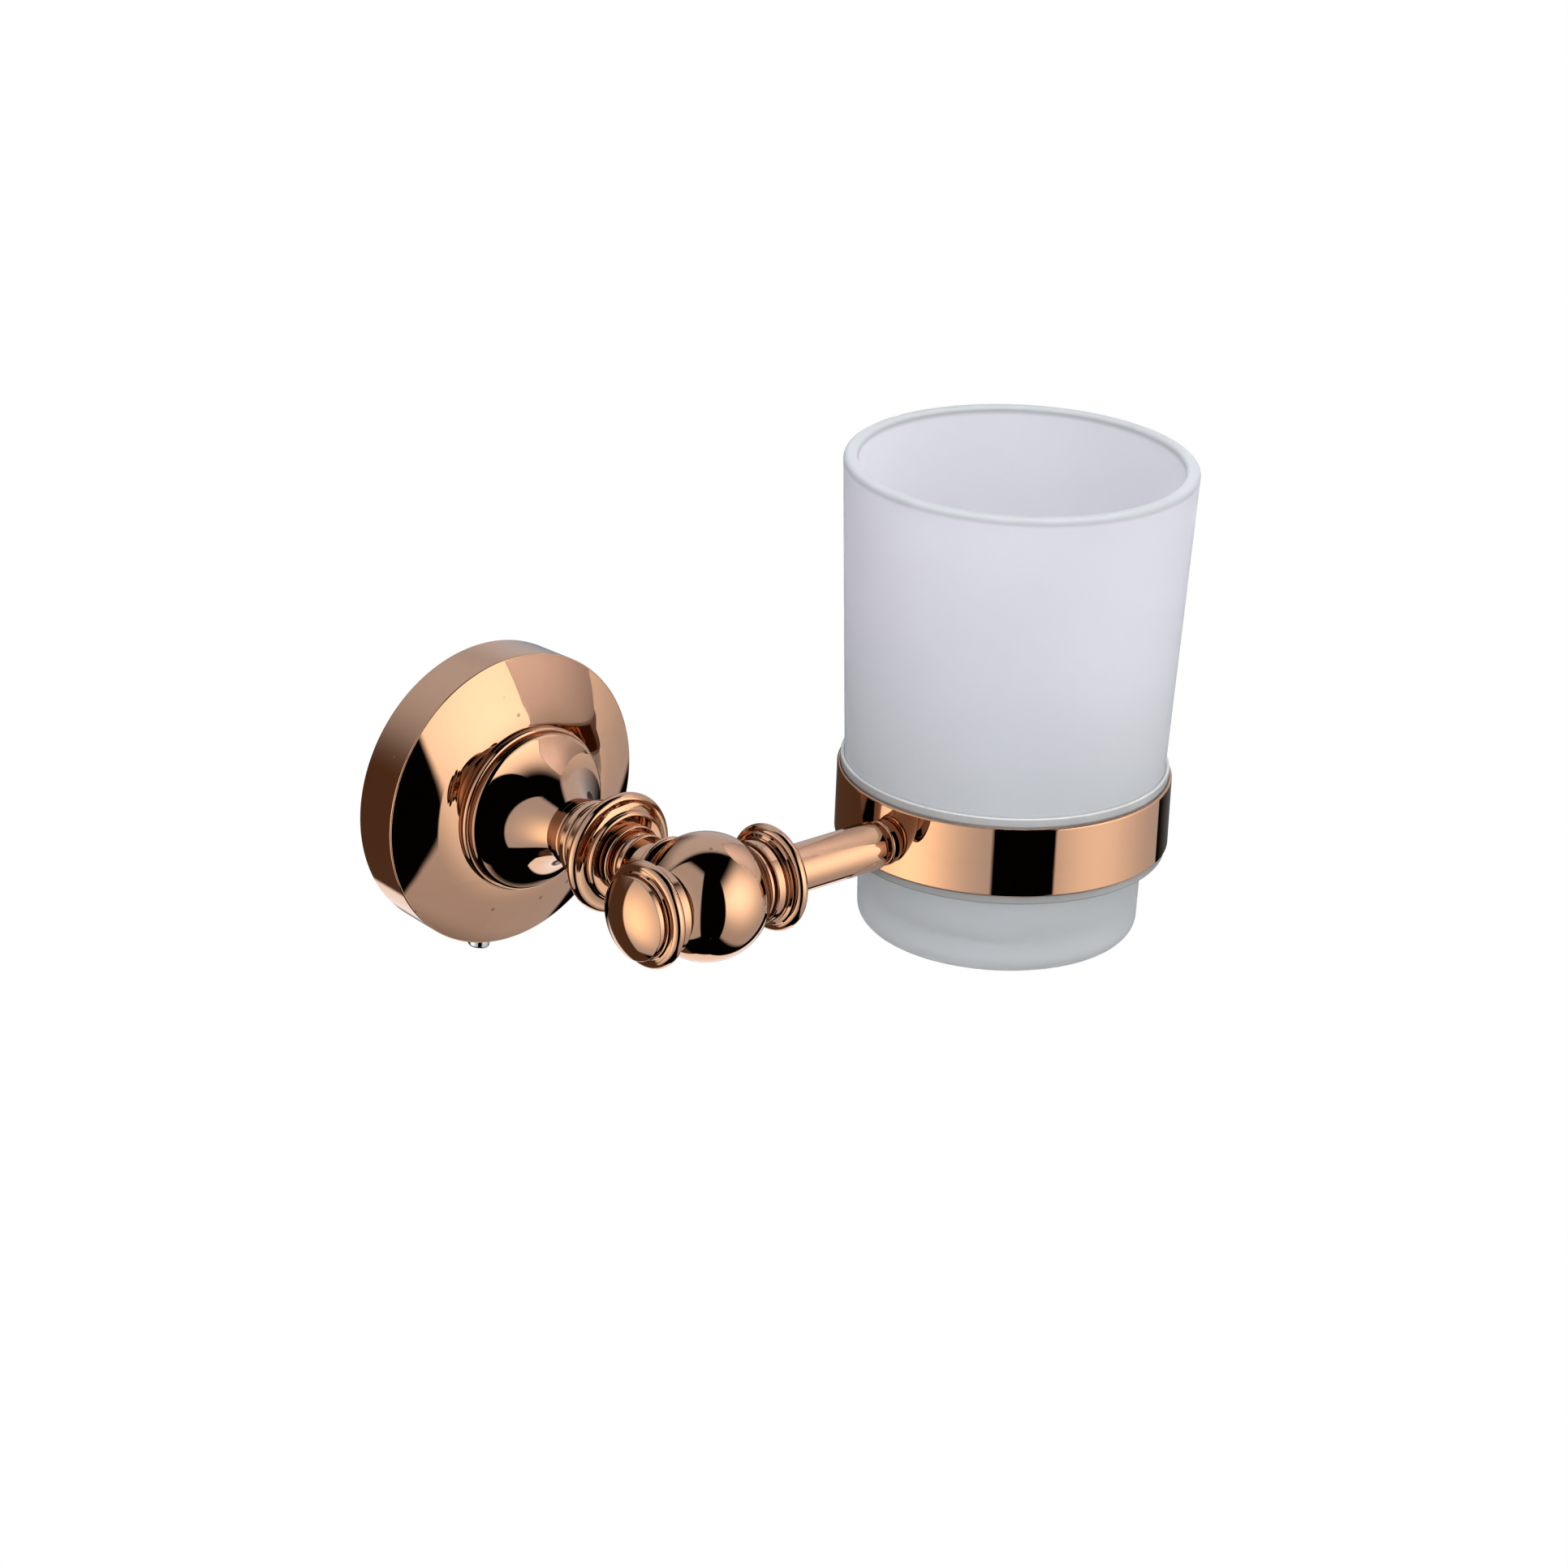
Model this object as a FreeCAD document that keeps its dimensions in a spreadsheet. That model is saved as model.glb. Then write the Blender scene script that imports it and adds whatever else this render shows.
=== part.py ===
"""Wall-mounted tumbler holder: a turned post, a ball and an arm carry a ring with a glass tumbler.

Row frame, in millimetres: the wall is the plane y = 0, the post stands out along -Y, the arm runs
along +X from the ball and +Z is up.  The origin is the centre of the wall bracket's back face.
Turned pieces are outlines of (radius, distance along the axis), revolved about their own axis.
"""
import FreeCAD, Part
import math
import os

import Sketcher
from FreeCAD import Placement, Rotation, Vector

# Driving dimensions.  Distances along the post start at the wall, those along the arm and the
# finial at the ball's centre, and heights of the band and liner at the height of that centre.
SIZES = {
    # wall bracket and flange cover
    "bracket_radius": 26.8, "bracket_web": 3.2, "bracket_depth": 7.2, "bracket_lip": 2.6,
    "groove_depth": 1.1, "groove_width": 4.6,
    "hole_spacing": 32.0, "hole_diameter": 4.8, "hole_sink_diameter": 9.2,
    "flange_radius": 30.0, "flange_back_radius": 29.6, "flange_depth": 10.3,
    "skirt_inner_radius": 27.4, "skirt_inner_depth": 8.0, "edge_round": 0.25,
    "face_arc": 120.0, "face_break_radius": 21.5, "face_break_depth": 14.05, "face_inner_arc": 20.4,
    "face_inner_radius": 16.6, "face_top": 15.4,
    "hollow_top": 11.6, "hollow_radius": 14.5,
    # set screw in the skirt
    "screw_depth": 6.2, "screw_turn": 8.0, "screw_radius": 2.0, "screw_hole_radius": 2.06,
    "screw_tip": 26.0, "screw_seat": 30.7, "screw_head_radius": 2.2, "screw_head_height": 1.7,
    "screw_slot_width": 0.7, "screw_slot_depth": 0.8,
    # stud, nut and washer of the post
    "stud_radius": 4.0, "bore_radius": 4.1, "stud_start": 4.6, "stud_end": 63.4,
    "nut_radius": 7.5, "nut_height": 4.8, "washer_radius": 6.8, "washer_height": 1.2,
    # bead ring and domed boss
    "bead_radius": 16.9, "bead_height": 1.5, "cove_radius": 15.6, "boss_band_start": 17.2,
    "boss_radius": 16.1, "boss_band_end": 18.2, "boss_round": 1.8, "dome_radius": 15.4,
    "dome_start": 18.8,
    "neck_radius": 6.4, "neck_start": 29.2, "neck_arc": 18.27, "boss_top": 30.6,
    # sleeve behind the collar
    "sleeve_small_radius": 6.9, "sleeve_waist_radius": 6.3, "sleeve_large_radius": 8.1,
    "sleeve_groove_radius": 7.6, "sleeve_end_radius": 8.5, "sleeve_top": 39.0,
    # post collar
    "collar_radius": 12.2, "collar_round": 1.25, "collar_centre": 43.1, "collar_step_radius": 9.2,
    "collar_step_base": 44.9, "collar_bead_round": 0.85, "collar_top": 46.2,
    "collar_flare_arc": 4.6, "collar_front_arc": 3.2,
    # stepped cone, neck and ball seat
    "step_a_radius": 6.85, "step_a_end": 47.7, "step_b_radius": 5.9, "step_b_end": 49.3,
    "step_c_radius": 6.15, "step_c_end": 51.1, "step_groove": 0.45, "step_round": 0.35,
    "post_neck_radius": 5.05, "seat_radius": 8.0, "seat_height": 1.2, "seat_round": 0.45,
    # ball
    "post_reach": 68.1, "ball_radius": 12.5, "ball_flat": 10.0,
    "cross_bore_radius": 3.1, "cross_stud_radius": 3.0,
    # finial
    "finial_ring_radius": 8.65, "finial_ring_end": 12.9, "disc_radius": 10.6, "disc_round": 1.35,
    "finial_disc_centre": 14.5, "disc_face_radius": 9.0, "finial_disc_end": 16.05,
    "fillet_ring_radius": 8.45, "cap_groove_radius": 7.7, "cap_band_start": 16.9,
    "cap_radius": 8.3, "cap_band_end": 18.1, "cap_top": 20.5, "cap_bore_end": 17.5,
    # arm
    "arm_seat_radius": 7.7, "arm_seat_end": 10.9, "arm_waist_radius": 7.1, "arm_band_start": 11.3,
    "arm_band_radius": 8.25, "arm_band_end": 13.2, "arm_band_base": 13.5,
    "arm_disc_centre": 15.9, "arm_disc_end": 17.5, "arm_boss_radius": 7.4, "arm_boss_end": 18.8,
    "arm_boss_round": 0.4,
    "arm_radius": 4.8, "arm_end": 42.9, "arm_round": 1.1, "arm_bore_end": 30.0,
    "tip_neck_radius": 3.6, "tip_washer_start": 43.8, "tip_washer_radius": 4.55,
    "tip_washer_end": 45.4, "tip_washer_round": 0.5,
    # ring, its screw and its liner
    "ring_centre": 78.0, "band_radius": 33.1, "band_wall": 0.8, "band_bottom": 6.1,
    "band_height": 14.15, "band_hole_radius": 2.15,
    "ring_screw_radius": 1.95, "ring_screw_bore": 2.05, "ring_screw_start": 33.0,
    "ring_screw_seat": 45.9, "ring_screw_head": 3.5, "ring_screw_head_height": 1.2,
    "liner_bottom": 8.0, "liner_radius": 32.22, "liner_lip_radius": 32.5, "liner_top": 17.95,
    "liner_groove_radius": 30.4, "liner_groove_start": 3.6, "liner_groove_end": 12.7,
    "liner_bore_radius": 28.95, "liner_seat_start": 13.0, "liner_mouth_radius": 31.9,
    # tumbler, with heights from its base
    "tumbler_base": 25.3, "tumbler_height": 97.1, "tumbler_rim_radius": 34.6,
    "tumbler_rim_wall": 2.8, "tumbler_rim_round": 1.1, "tumbler_foot_radius": 27.85,
    "tumbler_foot_round": 3.7, "tumbler_waist_radius": 28.6, "tumbler_waist_height": 30.3,
    "tumbler_shoulder_radius": 31.0, "tumbler_shoulder_height": 33.3, "tumbler_shoulder_arc": 4.0,
    "tumbler_body_radius": 31.75, "tumbler_body_height": 36.0,
    "tumbler_floor": 4.6, "tumbler_inner_round": 6.0, "tumbler_wall": 2.7,
}
SHEET = "Sizes"
ALONG_POST = Rotation(Vector(1, 0, 0), 90)
ALONG_ARM = Rotation(Vector(0, 1, 0), 90)
ALONG_FINIAL = Rotation(Vector(0, 1, 0), -90)
UPRIGHT = Rotation()


class Size:
    """A length that knows both its value and the sheet formula that gives it."""

    def __init__(self, value, formula):
        self.value = value
        self.formula = formula

    @staticmethod
    def of(other):
        return other if isinstance(other, Size) else Size(float(other), repr(float(other)))

    def _join(self, sign, other, value):
        return Size(value, f"({self.formula} {sign} {other.formula})")

    def __add__(self, other):
        other = Size.of(other)
        return self._join("+", other, self.value + other.value)

    def __sub__(self, other):
        other = Size.of(other)
        return self._join("-", other, self.value - other.value)

    def __mul__(self, other):
        other = Size.of(other)
        return self._join("*", other, self.value * other.value)

    def __truediv__(self, other):
        other = Size.of(other)
        return self._join("/", other, self.value / other.value)

    def root(self):
        """The square root, for the radius of a flat cut from a ball."""
        return Size(math.sqrt(self.value), f"sqrt({self.formula})")


class Sheet:
    """The driving dimensions: sheet.flange_radius is a Size bound to the cell of that name."""

    def __init__(self, document, sizes):
        self.cells = document.addObject("Spreadsheet::Sheet", SHEET)
        self.values = dict(sizes)
        for row, (name, value) in enumerate(sizes.items(), start=1):
            self.cells.set(f"A{row}", name)
            self.cells.set(f"B{row}", str(value))
            self.cells.setAlias(f"B{row}", name)

    def __getattr__(self, name):
        return Size(self.values[name], f"{SHEET}.{name}")


class Arc:
    """An arc of an outline, from the point before it to the point after it.

    bend is +1 where the outline turns left along the arc and -1 where it turns right.
    """

    def __init__(self, radius, bend):
        self.radius = Size.of(radius)
        self.bend = bend

    def centre(self, start, end):
        chord = end - start
        half = chord.Length / 2
        rise = math.sqrt(max(self.radius.value ** 2 - half ** 2, 0.0))
        across = Vector(-chord.y, chord.x, 0).normalize()
        return (start + end) / 2 + across * rise * self.bend


doc = FreeCAD.newDocument("TumblerHolder")
s = Sheet(doc, SIZES)
doc.recompute()


def plane_of(body, role):
    """The body's own origin plane or axis with this role."""
    return next(item for item in body.Origin.OriginFeatures if item.Role == role)


def new_sketch(body, name, role, lift=None):
    """A sketch on one of the body's own origin planes, raised by lift along its normal."""
    sketch = body.newObject("Sketcher::SketchObject", name)
    sketch.AttachmentSupport = [(plane_of(body, role), "")]
    sketch.MapMode = "FlatFace"
    if lift is not None:
        sketch.setExpression("AttachmentOffset.Base.z", lift.formula)
    return sketch


def bind(sketch, kind, places, size, name):
    """Add a dimension to the sketch and bind it to the sheet."""
    index = sketch.addConstraint(Sketcher.Constraint(kind, *places, size.value))
    sketch.renameConstraint(index, name)
    sketch.setExpression(f"Constraints.{name}", size.formula)


def pin_point(sketch, geometry, position, point, name):
    """Hold one corner at its radius and its distance along the axis."""
    radius = (point[0], -2, "DistanceX", "radius")
    along = (point[1], -1, "DistanceY", "along")
    for size, axis, kind, tag in (radius, along):
        if abs(size.value) < 1e-9:
            sketch.addConstraint(Sketcher.Constraint("PointOnObject", geometry, position, axis))
        else:
            bind(sketch, kind, (-1, 1, geometry, position), size, f"{name}_{tag}")


def draw_outline(sketch, outline):
    """Draw a closed outline of corners (radius, along), with an Arc between corners where it curves."""
    corners = [tuple(Size.of(value) for value in item) for item in outline if not isinstance(item, Arc)]
    arcs = {}
    count = 0
    for item in outline:
        if isinstance(item, Arc):
            arcs[count - 1] = item
        else:
            count += 1
    places = [Vector(radius.value, along.value, 0) for radius, along in corners]
    ends = []
    for index, start in enumerate(places):
        finish = places[(index + 1) % len(places)]
        if index in arcs:
            arc = arcs[index]
            middle = arc.centre(start, finish)
            circle = Part.Circle(middle, Vector(0, 0, 1), arc.radius.value)
            first, last = (start, finish) if arc.bend > 0 else (finish, start)
            angles = [math.atan2(spot.y - middle.y, spot.x - middle.x) for spot in (first, last)]
            geometry = sketch.addGeometry(Part.ArcOfCircle(circle, *angles), False)
            ends.append((geometry, 1, 2) if arc.bend > 0 else (geometry, 2, 1))
        else:
            geometry = sketch.addGeometry(Part.LineSegment(start, finish), False)
            ends.append((geometry, 1, 2))
    for index, (geometry, begin, _) in enumerate(ends):
        before, _, stop = ends[index - 1]
        sketch.addConstraint(Sketcher.Constraint("Coincident", before, stop, geometry, begin))
    for index, (geometry, begin, _) in enumerate(ends):
        pin_point(sketch, geometry, begin, corners[index], f"p{index}")
        if index in arcs:
            bind(sketch, "Radius", (geometry,), arcs[index].radius, f"p{index}_arc")


def place(item, rotation, origin):
    """Put a piece with its own axis along the rotated Z, from the given origin, bound to the sheet."""
    sizes = [Size.of(value) for value in origin]
    item.Placement = Placement(Vector(*[size.value for size in sizes]), rotation)
    for axis, size in zip("xyz", sizes):
        if SHEET in size.formula:
            item.setExpression(f"Placement.Base.{axis}", size.formula)


def turned(label, outline, rotation, origin=(0, 0, 0), angle=360.0):
    """A turned piece: the outline revolved about the axis along which it is drawn."""
    body = doc.addObject("PartDesign::Body", label)
    body.Label = label
    sketch = new_sketch(body, f"{label}_outline", "XZ_Plane")
    draw_outline(sketch, outline)
    turn = body.newObject("PartDesign::Revolution", f"{label}_turned")
    turn.Profile = sketch
    turn.ReferenceAxis = (sketch, ["V_Axis"])
    turn.Angle = angle
    body.Tip = turn
    place(body, rotation, origin)
    doc.recompute()
    return body


def drill(body, name, role, centre, radius, length, reverse=False, both=False, lift=None):
    """A round hole in a body, from one of its origin planes (or above it) along the plane's normal."""
    sketch = new_sketch(body, f"{name}_circle", role, lift)
    places = [Size.of(value) for value in centre]
    spot = Vector(places[0].value, places[1].value, 0)
    circle = sketch.addGeometry(Part.Circle(spot, Vector(0, 0, 1), radius.value), False)
    pin_point(sketch, circle, 3, places, "centre")
    bind(sketch, "Radius", (circle,), radius, "hole_radius")
    return cut(body, name, sketch, length, reverse, both)


def slot(body, name, lift, length, width, depth, turn):
    """A straight driver slot across the end of a screw, at this turn about its axis."""
    sketch = new_sketch(body, f"{name}_line", "XY_Plane", lift)
    sketch.AttachmentOffset = Placement(Vector(0, 0, lift.value), Rotation(Vector(0, 0, 1), turn))
    sketch.setExpression("AttachmentOffset.Base.z", lift.formula)
    corners = [(-1, -1), (1, -1), (1, 1), (-1, 1)]
    spots = [Vector(x * length.value / 2, y * width.value / 2, 0) for x, y in corners]
    for index in range(4):
        sketch.addGeometry(Part.LineSegment(spots[index], spots[(index + 1) % 4]), False)
    for index in range(4):
        sketch.addConstraint(Sketcher.Constraint("Coincident", index, 2, (index + 1) % 4, 1))
        sketch.addConstraint(Sketcher.Constraint(("Horizontal", "Vertical")[index % 2], index))
    sketch.addConstraint(Sketcher.Constraint("Symmetric", 0, 1, 2, 1, -1, 1))
    bind(sketch, "DistanceX", (0, 1, 0, 2), length, "slot_length")
    bind(sketch, "DistanceY", (1, 1, 1, 2), width, "slot_width")
    return cut(body, name, sketch, depth, False, False)


def cut(body, name, sketch, length, reverse, both):
    """A pocket of the sketch, checked to take material away."""
    doc.recompute()
    before = body.Shape.Volume
    pocket = body.newObject("PartDesign::Pocket", name)
    pocket.Profile = sketch
    pocket.setExpression("Length", length.formula)
    pocket.Midplane = both
    pocket.Reversed = reverse
    body.Tip = pocket
    doc.recompute()
    if body.Shape.Volume > before - 1e-3:
        raise ValueError(f"{name} cuts nothing from {body.Label}")
    return pocket


def primitive(kind, name, rotation, origin, **sizes):
    """A Part primitive with its sizes bound to the sheet."""
    item = doc.addObject(f"Part::{kind}", name)
    for key, size in sizes.items():
        if isinstance(size, Size):
            item.setExpression(key, size.formula)
        else:
            setattr(item, key, size)
    place(item, rotation, origin)
    return item


def subtract(label, base, tools):
    """The base with every tool cut out of it, labelled as a piece."""
    result = base
    for index, tool in enumerate(tools, start=1):
        step = doc.addObject("Part::Cut", f"{label}_cut{index}")
        step.Base = result
        step.Tool = tool
        result = step
    result.Label = label
    doc.recompute()
    return result


def bored(outer, start, end, bore):
    """Close an outer outline with a bore of this radius between two places along the axis."""
    return [(bore, start)] + outer + [(bore, end)]


def full_round(radius, middle, crown):
    """A half-round rim of this outer radius, as two quarter arcs about its middle."""
    return [
        (radius - crown, middle - crown), Arc(crown, 1), (radius, middle), Arc(crown, 1),
        (radius - crown, middle + crown),
    ]


def ball_centre():
    """The ball's centre in the row frame."""
    return (0, s.post_reach * -1, 0)


def wall_bracket():
    """Dished disc screwed to the wall, with a groove round its rim for the set screw's point."""
    inner = s.bracket_radius - s.bracket_lip
    groove = s.screw_depth
    half = s.groove_width / 2
    body = turned("wall_bracket", [
        (0, 0), (s.bracket_radius, 0),
        (s.bracket_radius, groove - half), (s.bracket_radius - s.groove_depth, groove - half / 3),
        (s.bracket_radius - s.groove_depth, s.bracket_depth),
        (inner, s.bracket_depth), (inner - 1.2, s.bracket_web), (0, s.bracket_web),
    ], ALONG_POST)
    sketch = new_sketch(body, "bracket_hole_centres", "XY_Plane", s.bracket_web)
    for index, side in enumerate((-1, 1)):
        spot = Vector(side * s.hole_spacing.value / 2, 0, 0)
        circle = sketch.addGeometry(Part.Circle(spot, Vector(0, 0, 1), s.hole_diameter.value / 2), False)
        bind(sketch, "Diameter", (circle,), s.hole_diameter, f"hole{index}_diameter")
    sketch.addConstraint(Sketcher.Constraint("PointOnObject", 0, 3, -1))
    sketch.addConstraint(Sketcher.Constraint("Symmetric", 0, 3, 1, 3, -2))
    bind(sketch, "DistanceX", (0, 3, 1, 3), s.hole_spacing, "hole_spacing")
    doc.recompute()
    before = body.Shape.Volume
    hole = body.newObject("PartDesign::Hole", "bracket_holes")
    hole.Profile = sketch
    doc.recompute()
    hole.DepthType = "ThroughAll"
    hole.setExpression("Diameter", s.hole_diameter.formula)
    hole.HoleCutType = "Countersink"
    hole.setExpression("HoleCutDiameter", s.hole_sink_diameter.formula)
    hole.HoleCutCountersinkAngle = 90.0
    body.Tip = hole
    doc.recompute()
    if body.Shape.Volume > before - 1.0:
        raise ValueError("the bracket's screw holes cut nothing")
    return body


def flange_shell():
    """Hollow cover with a sharp front edge and a low crowned face, drilled for the set screw."""
    edge = s.edge_round
    turn = Rotation(Vector(0, 1, 0), s.screw_turn.value)
    body = turned("flange_shell", [
        (s.skirt_inner_radius, 0), (s.flange_back_radius, 0),
        (s.flange_radius, s.flange_depth - edge), Arc(edge * 1.1, 1),
        (s.flange_radius - edge, s.flange_depth), Arc(s.face_arc, 1),
        (s.face_break_radius, s.face_break_depth), Arc(s.face_inner_arc, 1),
        (s.face_inner_radius, s.face_top),
        (s.bore_radius, s.face_top), (s.bore_radius, s.hollow_top),
        (s.hollow_radius, s.hollow_top), (s.skirt_inner_radius, s.skirt_inner_depth),
    ], turn * ALONG_POST)
    drill(body, "set_screw_hole", "XZ_Plane", (0, s.screw_depth), s.screw_hole_radius,
          s.flange_radius * 1.5, reverse=True)
    return body


def set_screw():
    """Slotted and crossed screw in the underside of the skirt, its point in the bracket's groove."""
    tip = s.screw_tip
    seat = s.screw_seat
    head = s.screw_head_height
    turn = Rotation(Vector(0, 1, 0), s.screw_turn.value)
    down = Rotation(Vector(1, 0, 0), 180)
    body = turned("set_screw", [
        (0, tip), (s.screw_radius - 1.2, tip), (s.screw_radius, tip + 1.2), (s.screw_radius, seat),
        (s.screw_head_radius, seat), (s.screw_head_radius, seat + head * 0.55),
        Arc(s.screw_head_radius, 1), (s.screw_head_radius * 0.5, seat + head), (0, seat + head),
    ], turn * down, (0, s.screw_depth * -1, 0))
    for index, angle in enumerate((25, 115)):
        slot(body, f"driver_slot{index}", seat + head, s.screw_head_radius * 1.3, s.screw_slot_width,
             s.screw_slot_depth, angle)
    return body


def bead_ring():
    """Half-round bead between the flange and the boss."""
    start = s.face_top
    crown = s.bead_height / 2
    return turned("bead_ring", bored(
        full_round(s.bead_radius, start + crown, crown), start, start + s.bead_height, s.bore_radius),
        ALONG_POST)


def dome_boss():
    """Straight band whose front sweeps up like a bell into the post's neck."""
    start = s.face_top + s.bead_height
    return turned("dome_boss", bored([
        (s.cove_radius, start), Arc(s.boss_band_start - start, -1),
        (s.boss_radius - 0.3, s.boss_band_start), Arc(0.4, 1),
        (s.boss_radius, s.boss_band_start + 0.35), (s.boss_radius, s.boss_band_end),
        Arc(s.boss_round, 1), (s.dome_radius, s.dome_start), Arc(s.neck_arc, -1),
        (s.neck_radius, s.neck_start), (s.neck_radius, s.boss_top),
    ], start, s.boss_top, s.bore_radius), ALONG_POST)


def neck_sleeve():
    """Sleeve with a small and a large ring, flaring towards the collar."""
    start = s.boss_top
    small = s.sleeve_small_radius
    waist = s.sleeve_waist_radius
    large = s.sleeve_large_radius
    return turned("neck_sleeve", bored([
        (small - 0.5, start), Arc(0.6, 1), (small, start + 0.5),
        (small, start + 2.0), Arc(0.6, 1), (small - 0.5, start + 2.5),
        (waist, start + 2.8), (waist, start + 3.3), (large - 0.6, start + 3.9), Arc(0.8, 1),
        (large, start + 4.6), (large, start + 5.7), Arc(0.6, 1), (large - 0.4, start + 6.1),
        (s.sleeve_groove_radius, start + 6.3), (s.sleeve_groove_radius, start + 6.7),
        (s.sleeve_end_radius - 0.3, start + 6.9), Arc(0.5, 1), (s.sleeve_end_radius, start + 7.3),
        (s.sleeve_end_radius, s.sleeve_top),
    ], start, s.sleeve_top, s.bore_radius), ALONG_POST)


def post_collar():
    """Large disc with a rounded rim and a raised bead on the side that faces the ball."""
    step = s.collar_step_radius
    bead = s.collar_bead_round
    flare = [(s.sleeve_end_radius, s.sleeve_top), Arc(s.collar_flare_arc, -1)]
    rim = full_round(s.collar_radius, s.collar_centre, s.collar_round)
    raised = [
        Arc(s.collar_front_arc, -1), (step, s.collar_step_base), (step, s.collar_top - bead),
        Arc(bead, 1), (step - bead, s.collar_top),
    ]
    return turned("post_collar", bored(
        flare + rim + raised, s.sleeve_top, s.collar_top, s.bore_radius), ALONG_POST)


def step_cone():
    """Three telescoping rings with grooves between them, down to the plain neck."""
    crown = s.step_round
    gap = s.step_groove
    start = s.collar_top
    outline = []
    for radius, end in ((s.step_a_radius, s.step_a_end), (s.step_b_radius, s.step_b_end),
                        (s.step_c_radius, s.step_c_end)):
        outline += [(radius - crown, start), Arc(crown, 1), (radius, start + crown),
                    (radius, end - crown), Arc(crown, 1), (radius - crown, end)]
        if end.value < s.step_c_end.value:
            waist = s.step_b_radius - gap
            outline += [(waist, end), (waist, end + gap)]
        start = end + gap
    return turned("step_cone", bored(outline, s.collar_top, s.step_c_end, s.bore_radius), ALONG_POST)


def post_neck():
    """Plain tube between the stepped cone and the ball's seat."""
    end = s.post_reach - s.ball_flat - s.seat_height
    return turned("post_neck", bored(
        [(s.post_neck_radius, s.step_c_end), (s.post_neck_radius, end)],
        s.step_c_end, end, s.bore_radius), ALONG_POST)


def ball_seat_ring():
    """Thin rounded ring that the ball's flat rests on."""
    end = s.post_reach - s.ball_flat
    start = end - s.seat_height
    crown = s.seat_round
    return turned("ball_seat_ring", bored([
        (s.seat_radius - crown, start), Arc(crown, 1), (s.seat_radius, start + crown),
        (s.seat_radius, end - crown), Arc(crown, 1), (s.seat_radius - crown, end),
    ], start, end, s.bore_radius), ALONG_POST)


def stud(label, radius, start, end, rotation, origin):
    """Threaded rod as a plain shaft of its own radius with chamfered ends."""
    chamfer = 0.6
    return turned(label, [
        (0, start), (radius - chamfer, start), (radius, start + chamfer),
        (radius, end - chamfer), (radius - chamfer, end), (0, end),
    ], rotation, origin)


def post_nut():
    """Hexagon nut inside the flange."""
    seat = s.hollow_top - s.washer_height
    prism = primitive("Prism", "nut_blank", ALONG_POST, (0, (seat - s.nut_height) * -1, 0),
                      Polygon=6, Circumradius=s.nut_radius, Height=s.nut_height)
    bore = primitive("Cylinder", "nut_bore", ALONG_POST, (0, (seat - s.nut_height - 1) * -1, 0),
                     Radius=s.bore_radius, Height=s.nut_height + 2)
    return subtract("post_nut", prism, [bore])


def lock_washer():
    """Split spring washer between the nut and the flange."""
    end = s.hollow_top
    start = end - s.washer_height
    return turned("lock_washer", bored(
        [(s.washer_radius, start), (s.washer_radius, end)], start, end, s.bore_radius + 0.1),
        ALONG_POST, angle=345.0)


def ball_hub():
    """Ball with three turned flats, bored for the cross stud and for the post's stud."""
    reach = s.ball_radius
    flat = s.ball_flat
    flat_radius = (reach * reach - flat * flat).root()
    body = turned("ball_hub", bored([
        (flat_radius, reach - flat), Arc(reach, 1), (flat_radius, reach + flat),
    ], reach - flat, reach + flat, s.cross_bore_radius), ALONG_ARM, (reach * -1, s.post_reach * -1, 0))
    drill(body, "ball_post_flat", "XZ_Plane", (0, reach), reach, reach, lift=flat * -1)
    socket = flat - (s.post_reach - s.stud_end) + 0.3
    drill(body, "ball_post_bore", "XZ_Plane", (0, reach), s.bore_radius, socket, reverse=True,
          lift=flat * -1)
    return body


def finial_ring():
    """Ring between the ball and the finial's disc."""
    start = s.ball_flat
    end = s.finial_ring_end
    radius = s.finial_ring_radius
    return turned("finial_ring", bored([
        (radius - 0.9, start), (radius - 0.5, start + 0.3), Arc(0.7, 1), (radius, start + 0.8),
        (radius, end - 0.2), (radius - 0.2, end),
    ], start, end, s.cross_bore_radius), ALONG_FINIAL, ball_centre())


def rounded_disc(start, centre, end):
    """Outer outline of a disc with a full round rim, stepping down to its face ring."""
    crown = s.disc_round
    face = s.disc_face_radius
    thin = s.fillet_ring_radius
    return [(face - 0.4, start)] + full_round(s.disc_radius, centre, crown) + [
        (face - 0.3, centre + crown + 0.1), (thin, end - 0.1), (thin - 0.25, end),
    ]


def finial_disc():
    """Large rounded disc of the finial with a thin ring in the groove beyond it."""
    start = s.finial_ring_end
    end = s.finial_disc_end + 0.35
    return turned("finial_disc", bored(
        rounded_disc(start, s.finial_disc_centre, end),
        start, end, s.cross_bore_radius), ALONG_FINIAL, ball_centre())


def finial_cap():
    """Domed end cap with a narrow band round it, threaded on the cross stud from inside."""
    start = s.finial_disc_end + 0.35
    radius = s.cap_radius
    rise = s.cap_top - s.cap_band_end
    edge = radius - 0.1
    sphere = (edge * edge + rise * rise) / (rise * 2)
    return turned("finial_cap", [
        (s.cross_bore_radius, start), (s.cap_groove_radius, start),
        (s.cap_groove_radius, s.cap_band_start - 0.15), (radius - 0.2, s.cap_band_start),
        (radius, s.cap_band_start + 0.2), (radius, s.cap_band_end - 0.1),
        (edge, s.cap_band_end), Arc(sphere, 1), (0, s.cap_top), (0, s.cap_bore_end),
        (s.cross_bore_radius, s.cap_bore_end),
    ], ALONG_FINIAL, ball_centre())


def arm_seat_ring():
    """Thin ring on the ball's flat, on the arm's side."""
    crown = 0.3
    start = s.ball_flat
    end = s.arm_seat_end
    radius = s.arm_seat_radius
    return turned("arm_seat_ring", bored([
        (radius - crown, start), Arc(crown, 1), (radius, start + crown),
        (radius, end - crown), Arc(crown, 1), (radius - crown, end),
    ], start, end, s.cross_bore_radius), ALONG_ARM, ball_centre())


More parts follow.
